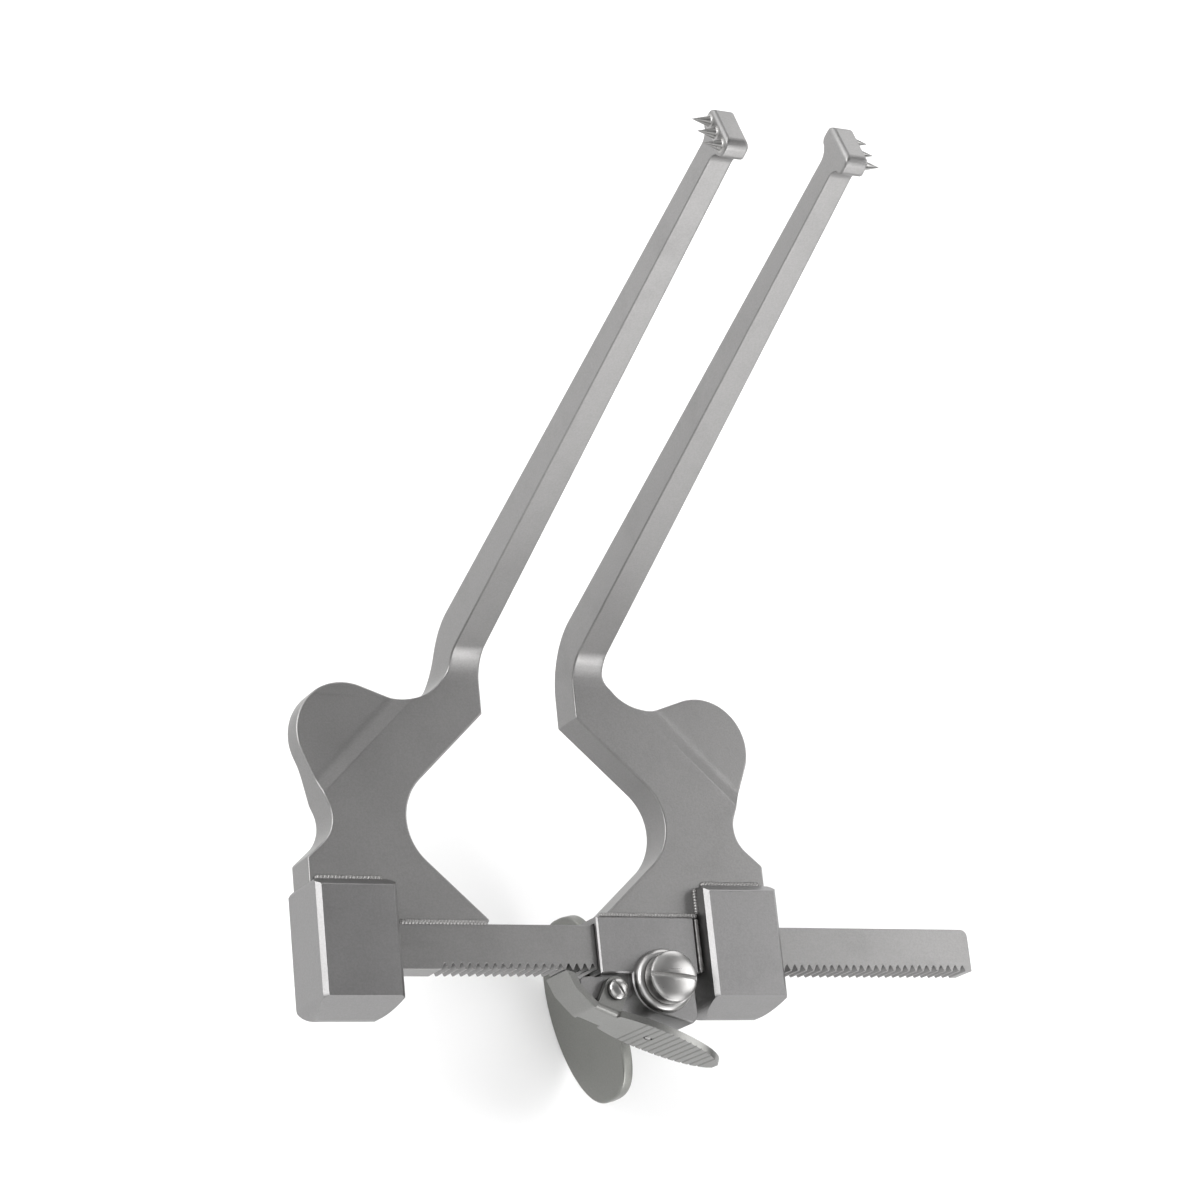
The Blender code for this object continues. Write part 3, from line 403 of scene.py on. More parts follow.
def new_group(name: str, inputs: dict[str, float], outputs: list[str]) -> bpy.types.NodeTree:
    """Empty shader group with number inputs and number outputs.

    Args:
        name: the group's name.
        inputs: name and default value of each input.
        outputs: names of the outputs.

    Returns:
        The group, with its input and output nodes.
    """
    group = bpy.data.node_groups.new(name, "ShaderNodeTree")
    for label, value in inputs.items():
        socket = group.interface.new_socket(label, in_out="INPUT", socket_type="NodeSocketFloat")
        socket.default_value = value
    for label in outputs:
        group.interface.new_socket(label, in_out="OUTPUT", socket_type="NodeSocketFloat")
    group.nodes.new("NodeGroupInput")
    group.nodes.new("NodeGroupOutput")
    return group


@dataclass
class Wiring:
    """Short ways to add and join nodes in one tree."""

    tree: bpy.types.NodeTree

    def node(self, kind: str, **settings: object) -> bpy.types.Node:
        """Add a node and set its properties."""
        item = self.tree.nodes.new(kind)
        for label, value in settings.items():
            setattr(item, label, value)
        return item

    def join(self, source: bpy.types.NodeSocket, target: bpy.types.NodeSocket) -> None:
        """Link two sockets."""
        self.tree.links.new(source, target)

    def feed(self, target: bpy.types.NodeSocket, value: bpy.types.NodeSocket | float) -> None:
        """Give a socket a link or a plain number."""
        if isinstance(value, (int, float)):
            target.default_value = value
        else:
            self.join(value, target)

    def sum(self, operation: str, *values: bpy.types.NodeSocket | float) -> bpy.types.NodeSocket:
        """Add a math node and return its result."""
        item = self.node("ShaderNodeMath", operation=operation)
        for socket, value in zip(item.inputs, values):
            self.feed(socket, value)
        return item.outputs[0]

    def remap(self, value: bpy.types.NodeSocket, low: float, high: float,
              to_low: float, to_high: float) -> bpy.types.NodeSocket:
        """Scale a value from one range to another, held at its ends."""
        item = self.node("ShaderNodeMapRange")
        self.join(value, item.inputs["Value"])
        for label, number in zip(("From Min", "From Max", "To Min", "To Max"), (low, high, to_low, to_high)):
            item.inputs[label].default_value = number
        return item.outputs["Result"]

    def noise(self, vector: bpy.types.NodeSocket, scale: bpy.types.NodeSocket | float,
              detail: float = 2.0, roughness: float = 0.5) -> bpy.types.NodeSocket:
        """Add a noise pattern and return its value."""
        item = self.node("ShaderNodeTexNoise")
        self.join(vector, item.inputs["Vector"])
        self.feed(item.inputs["Scale"], scale)
        item.inputs["Detail"].default_value = detail
        item.inputs["Roughness"].default_value = roughness
        return item.outputs["Fac"]


def blasted_grain() -> bpy.types.NodeTree:
    """Group: fine pitted grain of blasted steel.

    Returns:
        Group with Grain Size in; Height, Fleck and Cloud out.
    """
    group = new_group("blasted_grain", {"Grain Size": 3200.0}, ["Height", "Fleck", "Cloud"])
    wires = Wiring(group)
    source, result = group.nodes[0], group.nodes[1]
    place = wires.node("ShaderNodeTexCoord").outputs["Object"]
    grain = wires.noise(place, source.outputs["Grain Size"], 2.0, 0.6)
    pits = wires.node("ShaderNodeTexVoronoi", feature="F1")
    wires.join(place, pits.inputs["Vector"])
    wires.join(wires.sum("MULTIPLY", source.outputs["Grain Size"], 0.55), pits.inputs["Scale"])
    pit = wires.remap(pits.outputs["Distance"], 0.0, 0.6, 0.0, 1.0)
    mixed = wires.sum("ADD", wires.sum("MULTIPLY", grain, 0.7), wires.sum("MULTIPLY", pit, 0.3))
    wires.join(mixed, result.inputs["Height"])
    wires.join(wires.remap(grain, 0.35, 0.65, 0.0, 1.0), result.inputs["Fleck"])
    cloud = wires.noise(place, 55.0, 3.0, 0.55)
    wires.join(wires.remap(cloud, 0.3, 0.7, 0.0, 1.0), result.inputs["Cloud"])
    return group


def drawn_streaks() -> bpy.types.NodeTree:
    """Group: long fine lines left by grinding.

    Returns:
        Group with Scale X, Scale Y, Scale Z (how dense the pattern is) in; Streak out.
    """
    group = new_group("drawn_streaks", {"Scale X": 120.0, "Scale Y": 4000.0, "Scale Z": 4000.0}, ["Streak"])
    wires = Wiring(group)
    source, result = group.nodes[0], group.nodes[1]
    place = wires.node("ShaderNodeTexCoord").outputs["Object"]
    stretch = wires.node("ShaderNodeCombineXYZ")
    for index, label in enumerate(("Scale X", "Scale Y", "Scale Z")):
        wires.join(source.outputs[label], stretch.inputs[index])
    scaled = wires.node("ShaderNodeVectorMath", operation="MULTIPLY")
    wires.join(place, scaled.inputs[0])
    wires.join(stretch.outputs[0], scaled.inputs[1])
    streak = wires.noise(scaled.outputs[0], 1.0, 3.0, 0.6)
    wires.join(wires.remap(streak, 0.3, 0.7, 0.0, 1.0), result.inputs["Streak"])
    return group


def handling_marks() -> bpy.types.NodeTree:
    """Group: faint smudges and hairline scratches from use.

    Returns:
        Group with Smudge Size in; Smudge and Scratch out.
    """
    group = new_group("handling_marks", {"Smudge Size": 90.0}, ["Smudge", "Scratch"])
    wires = Wiring(group)
    source, result = group.nodes[0], group.nodes[1]
    place = wires.node("ShaderNodeTexCoord").outputs["Object"]
    smudge = wires.noise(place, source.outputs["Smudge Size"], 4.0, 0.6)
    wires.join(wires.remap(smudge, 0.52, 0.7, 0.0, 1.0), result.inputs["Smudge"])
    turned = wires.node("ShaderNodeMapping")
    turned.inputs["Rotation"].default_value = (0.4, 0.7, 0.9)
    turned.inputs["Scale"].default_value = (60.0, 2600.0, 2600.0)
    wires.join(place, turned.inputs["Vector"])
    line = wires.noise(turned.outputs["Vector"], 1.0, 1.0, 0.4)
    wires.join(wires.remap(line, 0.70, 0.74, 0.0, 1.0), result.inputs["Scratch"])
    return group


@dataclass(frozen=True)
class Finish:
    """Look of one steel surface: tone, gloss, grain and marks."""

    name: str
    tone: tuple[float, float, float]
    roughness: float
    grain_size: float = 3200.0
    grain_depth: float = 0.013
    cloud_tone: float = 0.04
    fleck_tone: float = 0.10
    streak_depth: float = 0.0
    streak_scale: tuple[float, float, float] = (120.0, 4000.0, 4000.0)
    smudge: float = 0.05
    scratch: float = 0.05

    def build(self, groups: dict[str, bpy.types.NodeTree]) -> bpy.types.Material:
        """Make the material.

        Args:
            groups: the shared shader groups by name.

        Returns:
            The material.
        """
        material = bpy.data.materials.new(self.name)
        material.use_nodes = True
        wires = Wiring(material.node_tree)
        shader = material.node_tree.nodes["Principled BSDF"]
        shader.inputs["Metallic"].default_value = 1.0
        grain = wires.node("ShaderNodeGroup", node_tree=groups["grain"])
        grain.inputs["Grain Size"].default_value = self.grain_size
        marks = wires.node("ShaderNodeGroup", node_tree=groups["marks"])
        tone = wires.sum("MULTIPLY_ADD", grain.outputs["Cloud"], self.cloud_tone, 1 - self.cloud_tone / 2)
        fleck = wires.sum("MULTIPLY_ADD", grain.outputs["Fleck"], self.fleck_tone, 1 - self.fleck_tone / 2)
        dark = wires.sum("MULTIPLY_ADD", marks.outputs["Smudge"], -self.smudge, 1.0)
        shade_value = wires.sum("MULTIPLY", wires.sum("MULTIPLY", tone, fleck), dark)
        colour = wires.node("ShaderNodeVectorMath", operation="SCALE")
        colour.inputs[0].default_value = self.tone
        wires.join(shade_value, colour.inputs["Scale"])
        wires.join(colour.outputs[0], shader.inputs["Base Color"])
        rough = wires.sum("MULTIPLY_ADD", grain.outputs["Cloud"], 0.06, self.roughness - 0.03)
        rough = wires.sum("ADD", rough, wires.sum("MULTIPLY", marks.outputs["Scratch"], -self.scratch))
        rough = wires.sum("ADD", rough, wires.sum("MULTIPLY", marks.outputs["Smudge"], self.smudge * 0.6))
        height = wires.sum("MULTIPLY", grain.outputs["Height"], self.grain_depth * MM)
        if self.streak_depth > 0:
            streaks = wires.node("ShaderNodeGroup", node_tree=groups["streaks"])
            for label, value in zip(("Scale X", "Scale Y", "Scale Z"), self.streak_scale):
                streaks.inputs[label].default_value = value
            lines = streaks.outputs["Streak"]
            height = wires.sum("ADD", height, wires.sum("MULTIPLY", lines, self.streak_depth * MM))
            rough = wires.sum("ADD", rough, wires.sum("MULTIPLY", lines, 0.05))
        height = wires.sum("ADD", height, wires.sum("MULTIPLY", marks.outputs["Scratch"], -0.002 * MM))
        wires.join(rough, shader.inputs["Roughness"])
        bump = wires.node("ShaderNodeBump")
        bump.inputs["Strength"].default_value = 1.0
        bump.inputs["Distance"].default_value = 1.0
        wires.join(height, bump.inputs["Height"])
        wires.join(bump.outputs["Normal"], shader.inputs["Normal"])
        return material


@dataclass
class Finishes:
    """Every material of the instrument."""

    groups: dict[str, bpy.types.NodeTree] = field(default_factory=dict)
    made: dict[str, bpy.types.Material] = field(default_factory=dict)

    def build(self) -> None:
        """Make the shared groups and then the materials."""
        self.groups = {"grain": blasted_grain(), "streaks": drawn_streaks(), "marks": handling_marks()}
        for finish in (
            Finish("blasted_plate", (0.241, 0.238, 0.236), 0.42),
            Finish("blasted_block", (0.236, 0.233, 0.233), 0.40),
            Finish("ground_rack", (0.241, 0.238, 0.236), 0.36, grain_depth=0.005, streak_depth=0.004),
            Finish("turned_screw", (0.36, 0.355, 0.35), 0.30, grain_depth=0.001,
                   fleck_tone=0.02, smudge=0.03),
            Finish("pawl_sheet", (0.222, 0.222, 0.214), 0.34, grain_depth=0.004),
            Finish("key_plate", (0.217, 0.219, 0.206), 0.40, grain_depth=0.008),
            Finish("weld_metal", (0.255, 0.251, 0.247), 0.46, grain_depth=0.005, cloud_tone=0.12),
            Finish("spike_steel", (0.31, 0.306, 0.30), 0.30, grain_depth=0.003),
            Finish("spring_leaf", (0.27, 0.266, 0.252), 0.28, grain_depth=0.002),
        ):
            self.made[finish.name] = finish.build(self.groups)

    def __getitem__(self, name: str) -> bpy.types.Material:
        """The material of that name."""
        return self.made[name]


# Sub-assemblies


@dataclass
class Arm:
    """Bent arm: plate with a finger ear, neck, tapering arm and cross head."""

    side: Side
    span: float = 74.2 * MM
    thickness: float = 7.4 * MM
    middle_z: float = 6.2 * MM
    rim: float = 0.35 * MM
    tongue: float = 5.8 * MM
    seat_y: float = 14.3 * MM
    side_x: float = 7.7 * MM
    web_x: float = 26.3 * MM
    outer_x: float = -7.15 * MM
    inner_x: float = 27.85 * MM
    corner_y: float = 44.7 * MM
    width: float = 5.9 * MM
    tip_x: float = 28.35 * MM
    tip_width: float = 3.95 * MM
    tip_thickness: float = 3.85 * MM
    bend_start: float = 50.3 * MM
    bend_radius: float = 10.0 * MM
    bend_angle: float = math.radians(65.8)
    length: float = 112.9 * MM
    ear_x: float = 2.1 * MM
    ear_y: float = 40.3 * MM
    ear_radius: float = 9.3 * MM
    step_offset: float = 32.2 * MM
    front_step: float = 3.5 * MM
    back_step: float = 7.0 * MM
    step_ramp: float = 0.6
    valley_y: float = 43.2 * MM
    valley_radius: float = 8.8 * MM
    waist_x: float = 7.2 * MM
    waist_y: float = 25.1 * MM
    waist_radius: float = 10.0 * MM
    neck_x: float = -1.0 * MM
    neck_y: float = 23.5 * MM
    neck_radius: float = 6.0 * MM
    hip_y: float = 18.1 * MM
    front_recess: float = 0.8 * MM
    back_recess: float = 2.4 * MM
    recess_end: float = 43.6 * MM
    head_back: float = 1.6 * MM
    head_front: float = 1.9 * MM
    head_rounding: float = 1.5 * MM
    head_reach: float = 4.4 * MM
    spike_spacing: float = 2.87 * MM

    @property
    def bend_end(self) -> float:
        """Station where the bend ends."""
        return self.bend_start + self.bend_radius * self.bend_angle

    @property
    def spike_station(self) -> float:
        """Station of the row of spikes."""
        return self.bend_end + self.length

    @property
    def head_neck(self) -> float:
        """Station of the head's edge toward the arm."""
        return self.spike_station - self.head_back

    @property
    def fillet_radius(self) -> float:
        """Radius of the hollow under the head."""
        return self.head_reach - self.tip_thickness / 2

    @property
    def neck_drop(self) -> float:
        """How far the head's rounding has fallen where it meets the hollow."""
        return 0.7 * self.head_rounding

    @property
    def fillet_length(self) -> float:
        """Length of the hollow along the arm, up to the head's rounding."""
        return math.sqrt(self.fillet_radius ** 2 - self.neck_drop ** 2)

    @property
    def plate_bottom(self) -> float:
        """Lower edge of the plate, over the rack or over the slide housing."""
        return (7.1 if self.side is Side.LEFT else 8.45) * MM

    def outline(self) -> Array:
        """Outline of the flat blank."""
        end = self.spike_station + self.head_front
        ear_top = self.ear_y + self.ear_radius
        ear_left = self.ear_x - self.ear_radius
        return rounded_outline([
            (-self.tongue, 9 * MM, 0),
            (self.tongue, 9 * MM, 0),
            (self.tongue, self.seat_y - 3 * MM, 0),
            (self.side_x, self.seat_y - 3 * MM, 0),
            (self.side_x, self.plate_bottom, 0),
            (self.web_x, self.plate_bottom, 0.4 * MM),
            (self.waist_x, self.waist_y, self.waist_radius),
            (self.inner_x, self.corner_y, 0.4 * MM),
            (self.inner_x, self.bend_end, 0),
            (self.tip_x, end, 0.9 * MM),
            (self.tip_x - self.tip_width, end, 0.7 * MM),
            (self.inner_x - self.width, self.bend_end, 0),
            (self.inner_x - self.width - 0.1 * MM, self.valley_y, self.valley_radius),
            (3.8 * MM, ear_top, self.ear_radius),
            (ear_left, ear_top, self.ear_radius),
            (ear_left, 38.4 * MM, self.ear_radius),
            (self.neck_x, self.neck_y, self.neck_radius),
            (self.outer_x, self.hip_y, 0.8 * MM),
            (self.outer_x, self.seat_y - 2 * MM, 0),
            (-self.tongue, self.seat_y - 2 * MM, 0),
        ])

    def half_thickness(self, x: Array, station: Array, recess: float, step: float) -> Array:
        """Half thickness toward one face.

        It is the plate's half thickness, less the recess behind the ear's slanted step,
        which falls evenly over the ramp's share of the step and then levels out as a
        parabola.  A straight taper along the arm follows.  Under the head it grows along
        an arc, and then along the head's rounding, which also ends it at the end face.

        Args:
            x: place across the blank.
            station: place along the blank.
            recess: depth of the ear's recess on this face.
            step: width of the recess's slope on this face.

        Returns:
            Half thickness at each point.
        """
        half = self.thickness / 2
        across = (station - x - self.step_offset) / math.sqrt(2)
        along = (station + x) / math.sqrt(2)
        share = np.clip(across / step, 0, 1) * (along < self.recess_end)
        ramp = self.step_ramp
        level = 1 - (1 - share) ** 2 / (1 - ramp ** 2)
        plate = half - recess * np.where(share < ramp, 2 * share / (1 + ramp), level)
        taper = np.clip((station - self.bend_end) / self.length, 0, 1)
        plate = plate + (self.tip_thickness / 2 - half) * taper
        inside = np.clip(station - self.head_neck + self.fillet_length, 0, self.fillet_length)
        flare = self.fillet_radius - np.sqrt(self.fillet_radius ** 2 - inside ** 2)
        corner = self.head_rounding
        end = self.spike_station + self.head_front
        outer = np.clip((station - end) / corner + 1, 0, 1)
        inner = np.clip((self.head_neck - station) / self.neck_drop + 1, 0, 1)
        round_off = 0.9 * corner * (1 - np.sqrt(1 - outer ** 2))
        round_in = self.neck_drop * np.sqrt(1 - inner ** 2)
        return plate + flare + round_in - round_off

    def bend(self, flat: Array) -> Array:
        """Fold the flat blank toward the front.

        Before the bend a point stays.  In it, it turns about the centre of curvature at
        the bend's radius less its offset.  After it, it runs straight on.

        Args:
            flat: x, station and offset of each point of the blank.

        Returns:
            X, Y and Z of each point.
        """
        x, station, side = flat.T
        half = self.thickness / 2
        front = self.half_thickness(x, station, self.front_recess, self.front_step)
        back = self.half_thickness(x, station, self.back_recess, self.back_step)
        offset = side / half * np.where(side > 0, front, back)
        turn = np.clip((station - self.bend_start) / self.bend_radius, 0, self.bend_angle)
        beyond = np.maximum(station - self.bend_end, 0)
        radius = self.bend_radius - offset
        y = np.minimum(station, self.bend_start) + radius * np.sin(turn) + beyond * math.cos(self.bend_angle)
        z = self.middle_z + self.bend_radius - radius * np.cos(turn) + beyond * math.sin(self.bend_angle)
        return np.column_stack([x, y, z])

    def mirrored(self, points: Array) -> Array:
        """Carry left-hand points to the right-hand side where this is the right arm."""
        if self.side is Side.LEFT:
            return points
        return points * [-1, 1, 1] + [self.span, 0, 0]

    def stations(self) -> list[float]:
        """Stations where the blank is sliced: the bend, the taper and the head."""
        bend = np.linspace(self.bend_start, self.bend_end, 25)
        taper = np.linspace(self.bend_end, self.spike_station - 6 * MM, 9)[1:]
        turns = np.linspace(0, math.asin(self.fillet_length / self.fillet_radius), 13)
        fillet_steps = self.head_neck - self.fillet_length + self.fillet_radius * np.sin(turns)
        rise = self.head_neck + self.neck_drop * (1 - np.cos(np.linspace(0, math.pi / 2, 9)))[1:]
        end = self.spike_station + self.head_front
        fall = end - self.head_rounding * (1 - np.sin(np.linspace(0, math.pi / 2, 9)))[:-1]
        return np.concatenate([bend, taper, fillet_steps, rise, fall]).tolist()

    def build_body(self, finishes: Finishes) -> None:
        """Build the arm itself.

        Args:
            finishes: every material of the instrument.
        """
        name = f"{self.side.value}_arm_body"
        item = new_mesh(name, *slab(self.outline(), self.thickness / 2, self.rim))
        planes = [(Vector((0, station, 0)), Vector((0, 1, 0))) for station in self.stations()]
        slant = Vector((-1, 1, 0)).normalized()
        for share in np.linspace(0, 1, 15):
            distance = self.step_offset / math.sqrt(2) + self.back_step * float(share)
            planes.append((slant * distance, slant))
        slice_mesh(item, planes)
        write_points(item, self.mirrored(self.bend(read_points(item))))
        if self.side is Side.RIGHT:
            item.data.flip_normals()
        shade(item)
        settle(item, self.side.body, finishes["blasted_plate"], [f"{self.side.value}_arm"])

    def spike_roots(self) -> Array:
        """Middle of each spike's base on the head's outer face."""
        outer = self.tip_x - self.tip_width
        half = self.thickness / 2
        places = np.array([-1.0, 0.0, 1.0]) * self.spike_spacing
        station = np.full(3, self.spike_station)
        x = np.full(3, outer)
        side = places / self.half_thickness(x, station, 0, self.front_step) * half
        return self.mirrored(self.bend(np.column_stack([x, station, side])))

    def build_spikes(self, finishes: Finishes) -> None:
        """Build three pointed spikes with a small raised ring round each.

        Args:
            finishes: every material of the instrument.
        """
        profile = rounded([
            (0.001 * MM, 3.15 * MM, 0),
            (0.05 * MM, 3.08 * MM, 0),
            (0.86 * MM, 0.12 * MM, 0.35 * MM),
            (1.18 * MM, 0.07 * MM, 0.05 * MM),
            (1.22 * MM, -0.25 * MM, 0),
            (0.001 * MM, -0.25 * MM, 0),
        ])
        outward = -1.0 if self.side is Side.LEFT else 1.0
        for index, root in enumerate(self.spike_roots()):
            points, faces = revolve(profile, 40)
            points = np.column_stack([outward * points[:, 2], points[:, 1], points[:, 0]]) + root
            item = new_mesh(f"{self.side.value}_spike_{index + 1}_point", points, faces)
            face_outward(item)
            shade(item)
            node = f"{self.side.value}_spike_{index + 1}"
            settle(item, self.side.body, finishes["spike_steel"], [node])

    def build(self, finishes: Finishes) -> None:
        """Build the arm and its spikes."""
        self.build_body(finishes)
        self.build_spikes(finishes)


@dataclass
class Foot:
    """Block under an arm, with the welds round the plate's tongue."""

    side: Side
    span: float = 74.2 * MM
    half_width: float = 7.4 * MM
    shoulder_y: float = 14.0 * MM
    plate_front: float = 9.9 * MM
    plate_back: float = 2.5 * MM
    bead: float = 0.7 * MM

    @property
    def middle(self) -> float:
        """X of the block's middle."""
        return 0.0 if self.side is Side.LEFT else self.span

    def build(self, finishes: Finishes) -> None:
        """Build the block and its beads.

        Args:
            finishes: every material of the instrument.
        """
        label = self.side.value
        block = refine(f"{label}_block", f"{label}_block_body", 0.16 * MM)
        settle(block, self.side.body, finishes["blasted_block"], [f"{label}_block"])
        reach = self.half_width - 1.1 * MM
        left = np.array([self.middle - reach, self.shoulder_y + 0.35 * MM, self.plate_front])
        right = left + [2 * reach, 0, 0]
        front = new_mesh(f"{label}_block_front_bead", *weld_bead(left, right, self.bead, 19, 3))
        back_shift = np.array([0, 0, self.plate_back - self.plate_front])
        behind = weld_bead(left + back_shift, right + back_shift, self.bead, 18, 5)
        back = new_mesh(f"{label}_block_back_bead", *behind)
        inward = 1.0 if self.side is Side.LEFT else -1.0
        low_y = 7.4 * MM if self.side is Side.LEFT else 8.9 * MM
        foot = np.array([self.middle + inward * (self.half_width + 0.15 * MM), low_y, self.plate_front])
        top = foot.copy()
        top[1] = self.shoulder_y - 0.4 * MM
        side = new_mesh(f"{label}_block_side_bead", *weld_bead(foot, top, 0.5 * MM, 9, 7))
        for item, nodes in ((front, [f"{label}_block_weld"]), (back, []), (side, [])):
            face_outward(item)
            shade(item, math.radians(60))
            settle(item, self.side.body, finishes["weld_metal"], nodes)


@dataclass
class Rack:
    """Toothed bar and the weld line that joins it to the left plate."""

    top: float = 6.8 * MM
    front: float = 9.9 * MM
    weld_start: float = 8.6 * MM
    weld_end: float = 25.4 * MM

    def build(self, finishes: Finishes) -> None:
        """Build the bar and the weld line.

        Args:
            finishes: every material of the instrument.
        """
        bar = refine("rack_bar", "rack_bar_body", 0.09 * MM)
        settle(bar, "fixed_frame", finishes["ground_rack"], ["rack_bar"])
        start = np.array([self.weld_start, self.top + 0.3 * MM, self.front - 0.12 * MM])
        end = np.array([self.weld_end, self.top + 0.3 * MM, self.front - 0.12 * MM])
        line = new_mesh("rack_plate_bead", *weld_bead(start, end, 0.5 * MM, 26, 11))
        face_outward(line)
        shade(line, math.radians(60))
        settle(line, "fixed_frame", finishes["weld_metal"], [])


@dataclass
class Housing:
    """Slide housing with the pinion case, its welds and the pawl's pivot screw."""

    left: float = 45.75 * MM
    right: float = 65.2 * MM
    block_face: float = 66.8 * MM
    top: float = 8.15 * MM
    floor: float = -1.9 * MM
    front: float = 11.1 * MM
    plate_front: float = 9.9 * MM

    def build(self, finishes: Finishes) -> None:
        """Build the housing, the two beads and the pivot screw.

        Args:
            finishes: every material of the instrument.
        """
        case = refine("housing", "housing_body", 0.14 * MM)
        settle(case, "carriage", finishes["blasted_block"], ["housing"])
        start = np.array([self.left + 1.0 * MM, self.top + 0.4 * MM, self.plate_front + 0.3 * MM])
        end = np.array([self.block_face - 0.4 * MM, self.top + 0.4 * MM, self.plate_front + 0.3 * MM])
        over = new_mesh("housing_top_bead", *weld_bead(start, end, 0.5 * MM, 36, 21))
        middle = (self.right + self.block_face) / 2
        low = np.array([middle, self.floor + 0.2 * MM, self.front - 0.8 * MM])
        high = np.array([middle, self.top, self.front - 0.8 * MM])
        strip = new_mesh("housing_side_bead", *weld_bead(low, high, 0.48 * MM, 5, 23))
        for item, node in ((over, "housing_top_weld"), (strip, "housing_side_weld")):
            face_outward(item)
            shade(item, math.radians(60))
            settle(item, "carriage", finishes["weld_metal"], [node])
        screw = refine("pivot_screw", "pivot_screw_body", 0.07 * MM)
        settle(screw, "carriage", finishes["turned_screw"], ["pivot_screw"])


@dataclass
class Drive:
    """Pinion, collar, domed screw and wing key, all on one axis."""

    axis_x: float = 57.7 * MM
    axis_y: float = -3.375 * MM
    collar_back: float = 11.4 * MM
    key_angle: float = math.radians(12)
    key_half_thickness: float = 1.1 * MM
    key_half_length: float = 17.3 * MM
    key_offset: float = 1.3 * MM
    key_front: float = -7.4 * MM
    key_depth: float = 23.1 * MM
    hub_radius: float = 3.4 * MM
    hub_front: float = 1.0 * MM

    def on_axis(self, points: Array) -> Array:
        """Move points from the Z axis to the pinion's axis."""
        return points + [self.axis_x, self.axis_y, 0]

    def turned(self, points: Array) -> Array:
        """Turn points about Z to the key's resting angle."""
        cosine, sine = math.cos(self.key_angle), math.sin(self.key_angle)
        x, y, z = points.T
        return np.column_stack([cosine * x - sine * y, sine * x + cosine * y, z])

    def key_outline(self) -> Array:
        """Outline of the key: a rounded square toward the housing, an ellipse behind.

        Along and depth are a cosine and a sine, raised to two thirds on the front half.
        """
        turn = np.linspace(0, math.tau, 160, endpoint=False)
        along, depth = np.cos(turn), np.sin(turn)
        power = np.where(depth > 0, 2 / 3, 1.0)
        along = np.sign(along) * np.abs(along) ** power
        depth = np.sign(depth) * np.abs(depth) ** power
        half = self.key_depth / 2
        return np.column_stack([
            self.key_offset + self.key_half_length * along,
            self.key_front - half + half * depth,
        ])

    def build_key(self, finishes: Finishes) -> None:
        """Build the flat key and its tapering hub.

        Args:
            finishes: every material of the instrument.
        """
        points, faces = slab(self.key_outline(), self.key_half_thickness, 0.45 * MM)
        points = self.on_axis(self.turned(np.column_stack([points[:, 2], points[:, 0], points[:, 1]])))
        wing = new_mesh("wing_key_plate", points, faces)
        face_outward(wing)
        shade(wing)
        settle(wing, "drive", finishes["key_plate"], ["wing_key"])
        profile = rounded([
            (0.001 * MM, self.hub_front, 0),
            (self.hub_radius, self.hub_front, 0.3 * MM),
            (self.hub_radius, self.key_front + 1.0 * MM, 3.0 * MM),
            (1.0 * MM, self.key_front - 6.0 * MM, 0.5 * MM),
            (0.001 * MM, self.key_front - 6.0 * MM, 0),
        ])
        points, faces = revolve(profile)
        hub = new_mesh("wing_key_hub", self.on_axis(points), faces)
        face_outward(hub)
        shade(hub)
        settle(hub, "drive", finishes["key_plate"], [])

    def build_collar(self, finishes: Finishes) -> None:
        """Build the round-shouldered collar between the housing and the screw.

        Args:
            finishes: every material of the instrument.
        """
        back = self.collar_back - 0.3 * MM
        top = self.collar_back + 1.3 * MM
        profile = rounded([
            (0.001 * MM, top + 0.3 * MM, 0),
            (4.2 * MM, top + 0.3 * MM, 0),
            (4.3 * MM, top, 0.1 * MM),
            (5.7 * MM, top, 1.1 * MM),
            (5.7 * MM, back, 0),
            (0.001 * MM, back, 0),
        ])
        points, faces = revolve(profile)
        item = new_mesh("pinion_collar_body", self.on_axis(points), faces)
        face_outward(item)
        shade(item)
        settle(item, "drive", finishes["turned_screw"], ["pinion_collar"])

    def build(self, finishes: Finishes) -> None:
        """Build every piece that turns with the key.

        Args:
            finishes: every material of the instrument.
        """
        self.build_key(finishes)
        self.build_collar(finishes)
        for node, bevel in (("pinion_screw", 0.1), ("pinion", 0.05), ("key_pin", 0.1)):
            item = refine(node, f"{node}_body", bevel * MM)
            settle(item, "drive", finishes["turned_screw"], [node])


@dataclass
class Pawl:
    """Bent pawl lever with its leaf spring and rivet."""

    def build(self, finishes: Finishes) -> None:
        """Build the lever, the spring and the rivet.

        Args:
            finishes: every material of the instrument.
        """
        for node, slot, finish, bevel in (
            ("pawl_lever", Slot.SATIN, "pawl_sheet", 0.12),
            ("leaf_spring", Slot.SPRING, "spring_leaf", 0.04),
            ("spring_rivet", Slot.POLISHED, "turned_screw", 0.08),
        ):
            item = refine(node, f"{node}_body", bevel * MM)
            settle(item, "pawl", finishes[finish], [node])


# Studio


@dataclass(frozen=True)
class SoftBox:
    """Square soft light that looks at the instrument."""

    name: str
    direction: tuple[float, float, float]
    distance: float
    size: float
    power: float

    def build(self, target: Vector) -> None:
        """Hang the light."""
        data = bpy.data.lights.new(self.name, "AREA")
        data.shape = "SQUARE"
        data.size = self.size
        data.energy = self.power
        item = bpy.data.objects.new(self.name, data)
        bpy.context.scene.collection.objects.link(item)
        item.location = target + Vector(self.direction).normalized() * self.distance
        item.rotation_euler = (item.location - target).to_track_quat("Z", "Y").to_euler()


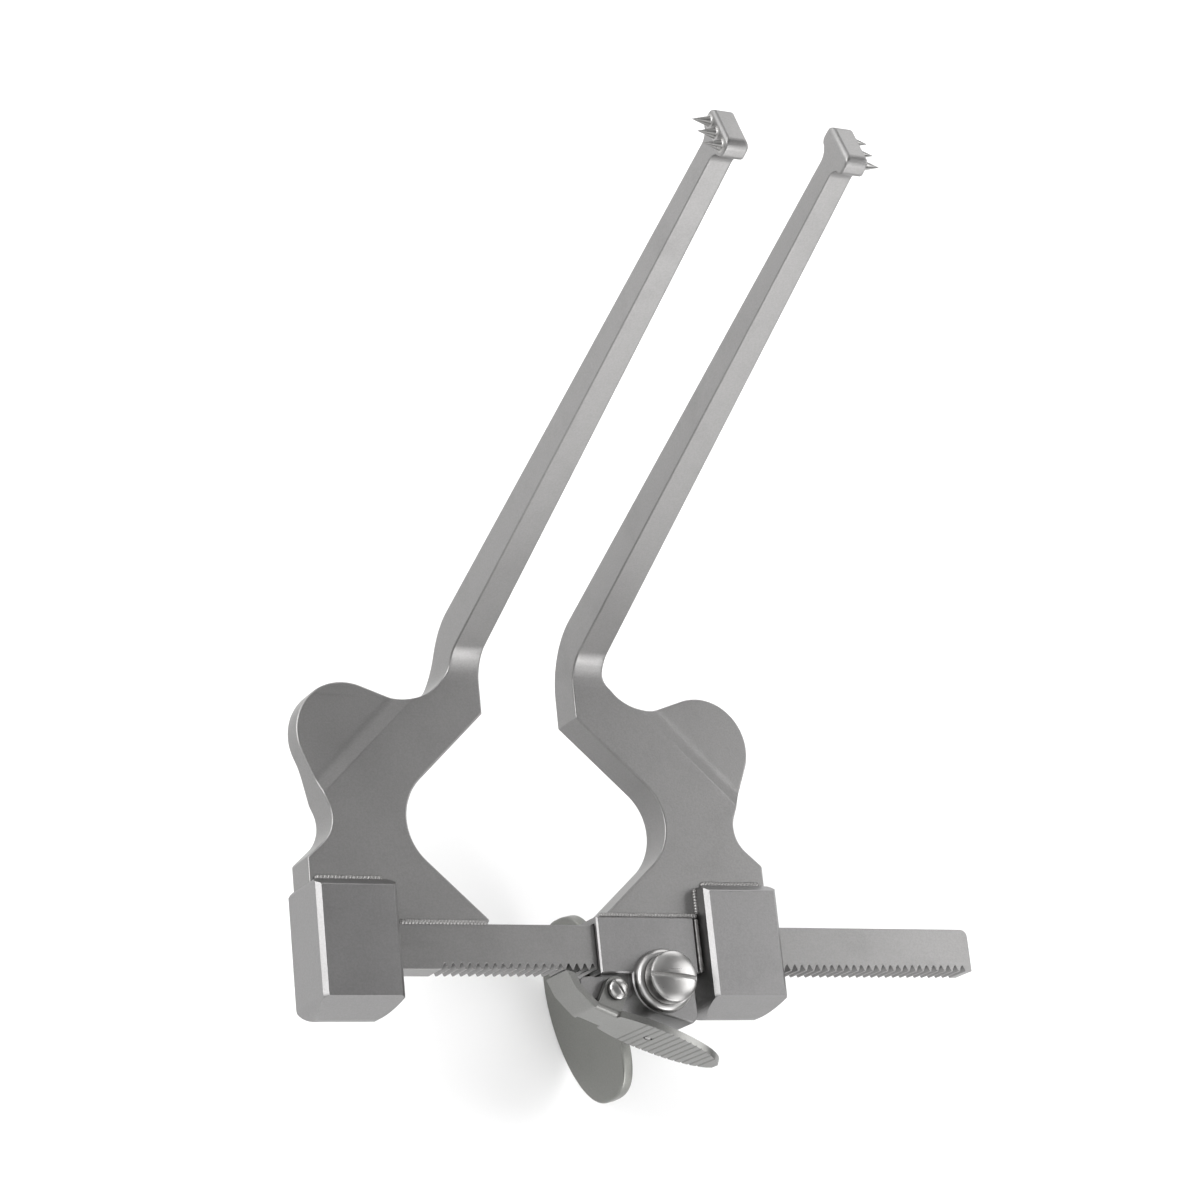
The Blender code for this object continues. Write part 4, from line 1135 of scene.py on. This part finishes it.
@dataclass
class Studio:
    """Camera, floor and lights."""

    eye: tuple[float, float, float] = (-0.2075, -0.1094, 0.4849)
    right: tuple[float, float, float] = (0.8870, -0.0986, 0.4511)
    up: tuple[float, float, float] = (-0.0577, 0.9456, 0.3202)
    lens: float = 94.07
    sensor: float = 36.0
    floor_z: float = -30.6 * MM
    world_light: float = 0.25

    def build_camera(self) -> None:
        """Set the camera where the photograph was taken from."""
        data = bpy.data.cameras.new("camera")
        data.lens = self.lens
        data.sensor_width = self.sensor
        data.sensor_fit = "HORIZONTAL"
        data.clip_start = 0.01
        data.clip_end = 20.0
        item = bpy.data.objects.new("camera", data)
        bpy.context.scene.collection.objects.link(item)
        right = Vector(self.right).normalized()
        up = (Vector(self.up) - right * right.dot(Vector(self.up))).normalized()
        back = right.cross(up)
        turn = Matrix((right, up, back)).transposed().to_4x4()
        item.matrix_world = Matrix.Translation(self.eye) @ turn
        bpy.context.scene.camera = item

    def build_floor(self) -> None:
        """Lay a plain pale floor under the instrument."""
        half = 12.0
        points = np.array([[-half, -half, 0], [half, -half, 0], [half, half, 0], [-half, half, 0]])
        item = new_mesh("floor", points + [0, 0, self.floor_z], [[0, 1, 2, 3]])
        material = bpy.data.materials.new("pale_floor")
        material.use_nodes = True
        shader = material.node_tree.nodes["Principled BSDF"]
        shader.inputs["Base Color"].default_value = (0.93, 0.93, 0.93, 1)
        shader.inputs["Roughness"].default_value = 0.9
        shader.inputs["Specular IOR Level"].default_value = 0.1
        item.data.materials.append(material)

    def build_light(self) -> None:
        """Light the room evenly and add the soft boxes."""
        world = bpy.data.worlds.new("studio")
        world.use_nodes = True
        world.node_tree.nodes["Background"].inputs["Color"].default_value = (1, 1, 1, 1)
        world.node_tree.nodes["Background"].inputs["Strength"].default_value = self.world_light
        bpy.context.scene.world = world
        target = Vector((0.05, 0.04, 0.03))
        for box in (
            SoftBox("left_box", (-0.83, 0.31, 0.46), 1.0, 0.6, 7.0),
            SoftBox("right_box", (0.80, 0.10, 0.60), 1.0, 0.6, 4.2),
            SoftBox("front_box", (0.46, -0.57, 0.68), 1.0, 0.5, 2.0),
            SoftBox("back_box", (0.46, 0.83, 0.32), 1.0, 0.6, 2.7),
            SoftBox("low_box", (0.30, -0.95, 0.25), 1.0, 0.6, 6.0),
            SoftBox("floor_box", (-0.55, 0.75, 0.35), 0.9, 0.8, 4.5),
            SoftBox("top_box", (0.0, 0.60, 0.80), 1.0, 0.6, 0.5),
            SoftBox("fill_box", (-0.50, -0.45, 0.75), 1.0, 0.8, 3.0),
        ):
            box.build(target)

    def build(self) -> None:
        """Build the whole studio."""
        self.build_camera()
        self.build_floor()
        self.build_light()
        bpy.context.scene.view_settings.view_transform = "Standard"


def main() -> None:
    """Build the instrument and its studio, and report each piece."""
    logging.basicConfig(level=logging.INFO, format="%(message)s")
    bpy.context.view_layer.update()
    finishes = Finishes()
    finishes.build()
    for side in Side:
        Arm(side).build(finishes)
        Foot(side).build(finishes)
    Rack().build(finishes)
    Housing().build(finishes)
    Drive().build(finishes)
    Pawl().build(finishes)
    Studio().build()


if __name__ == "__main__":
    main()
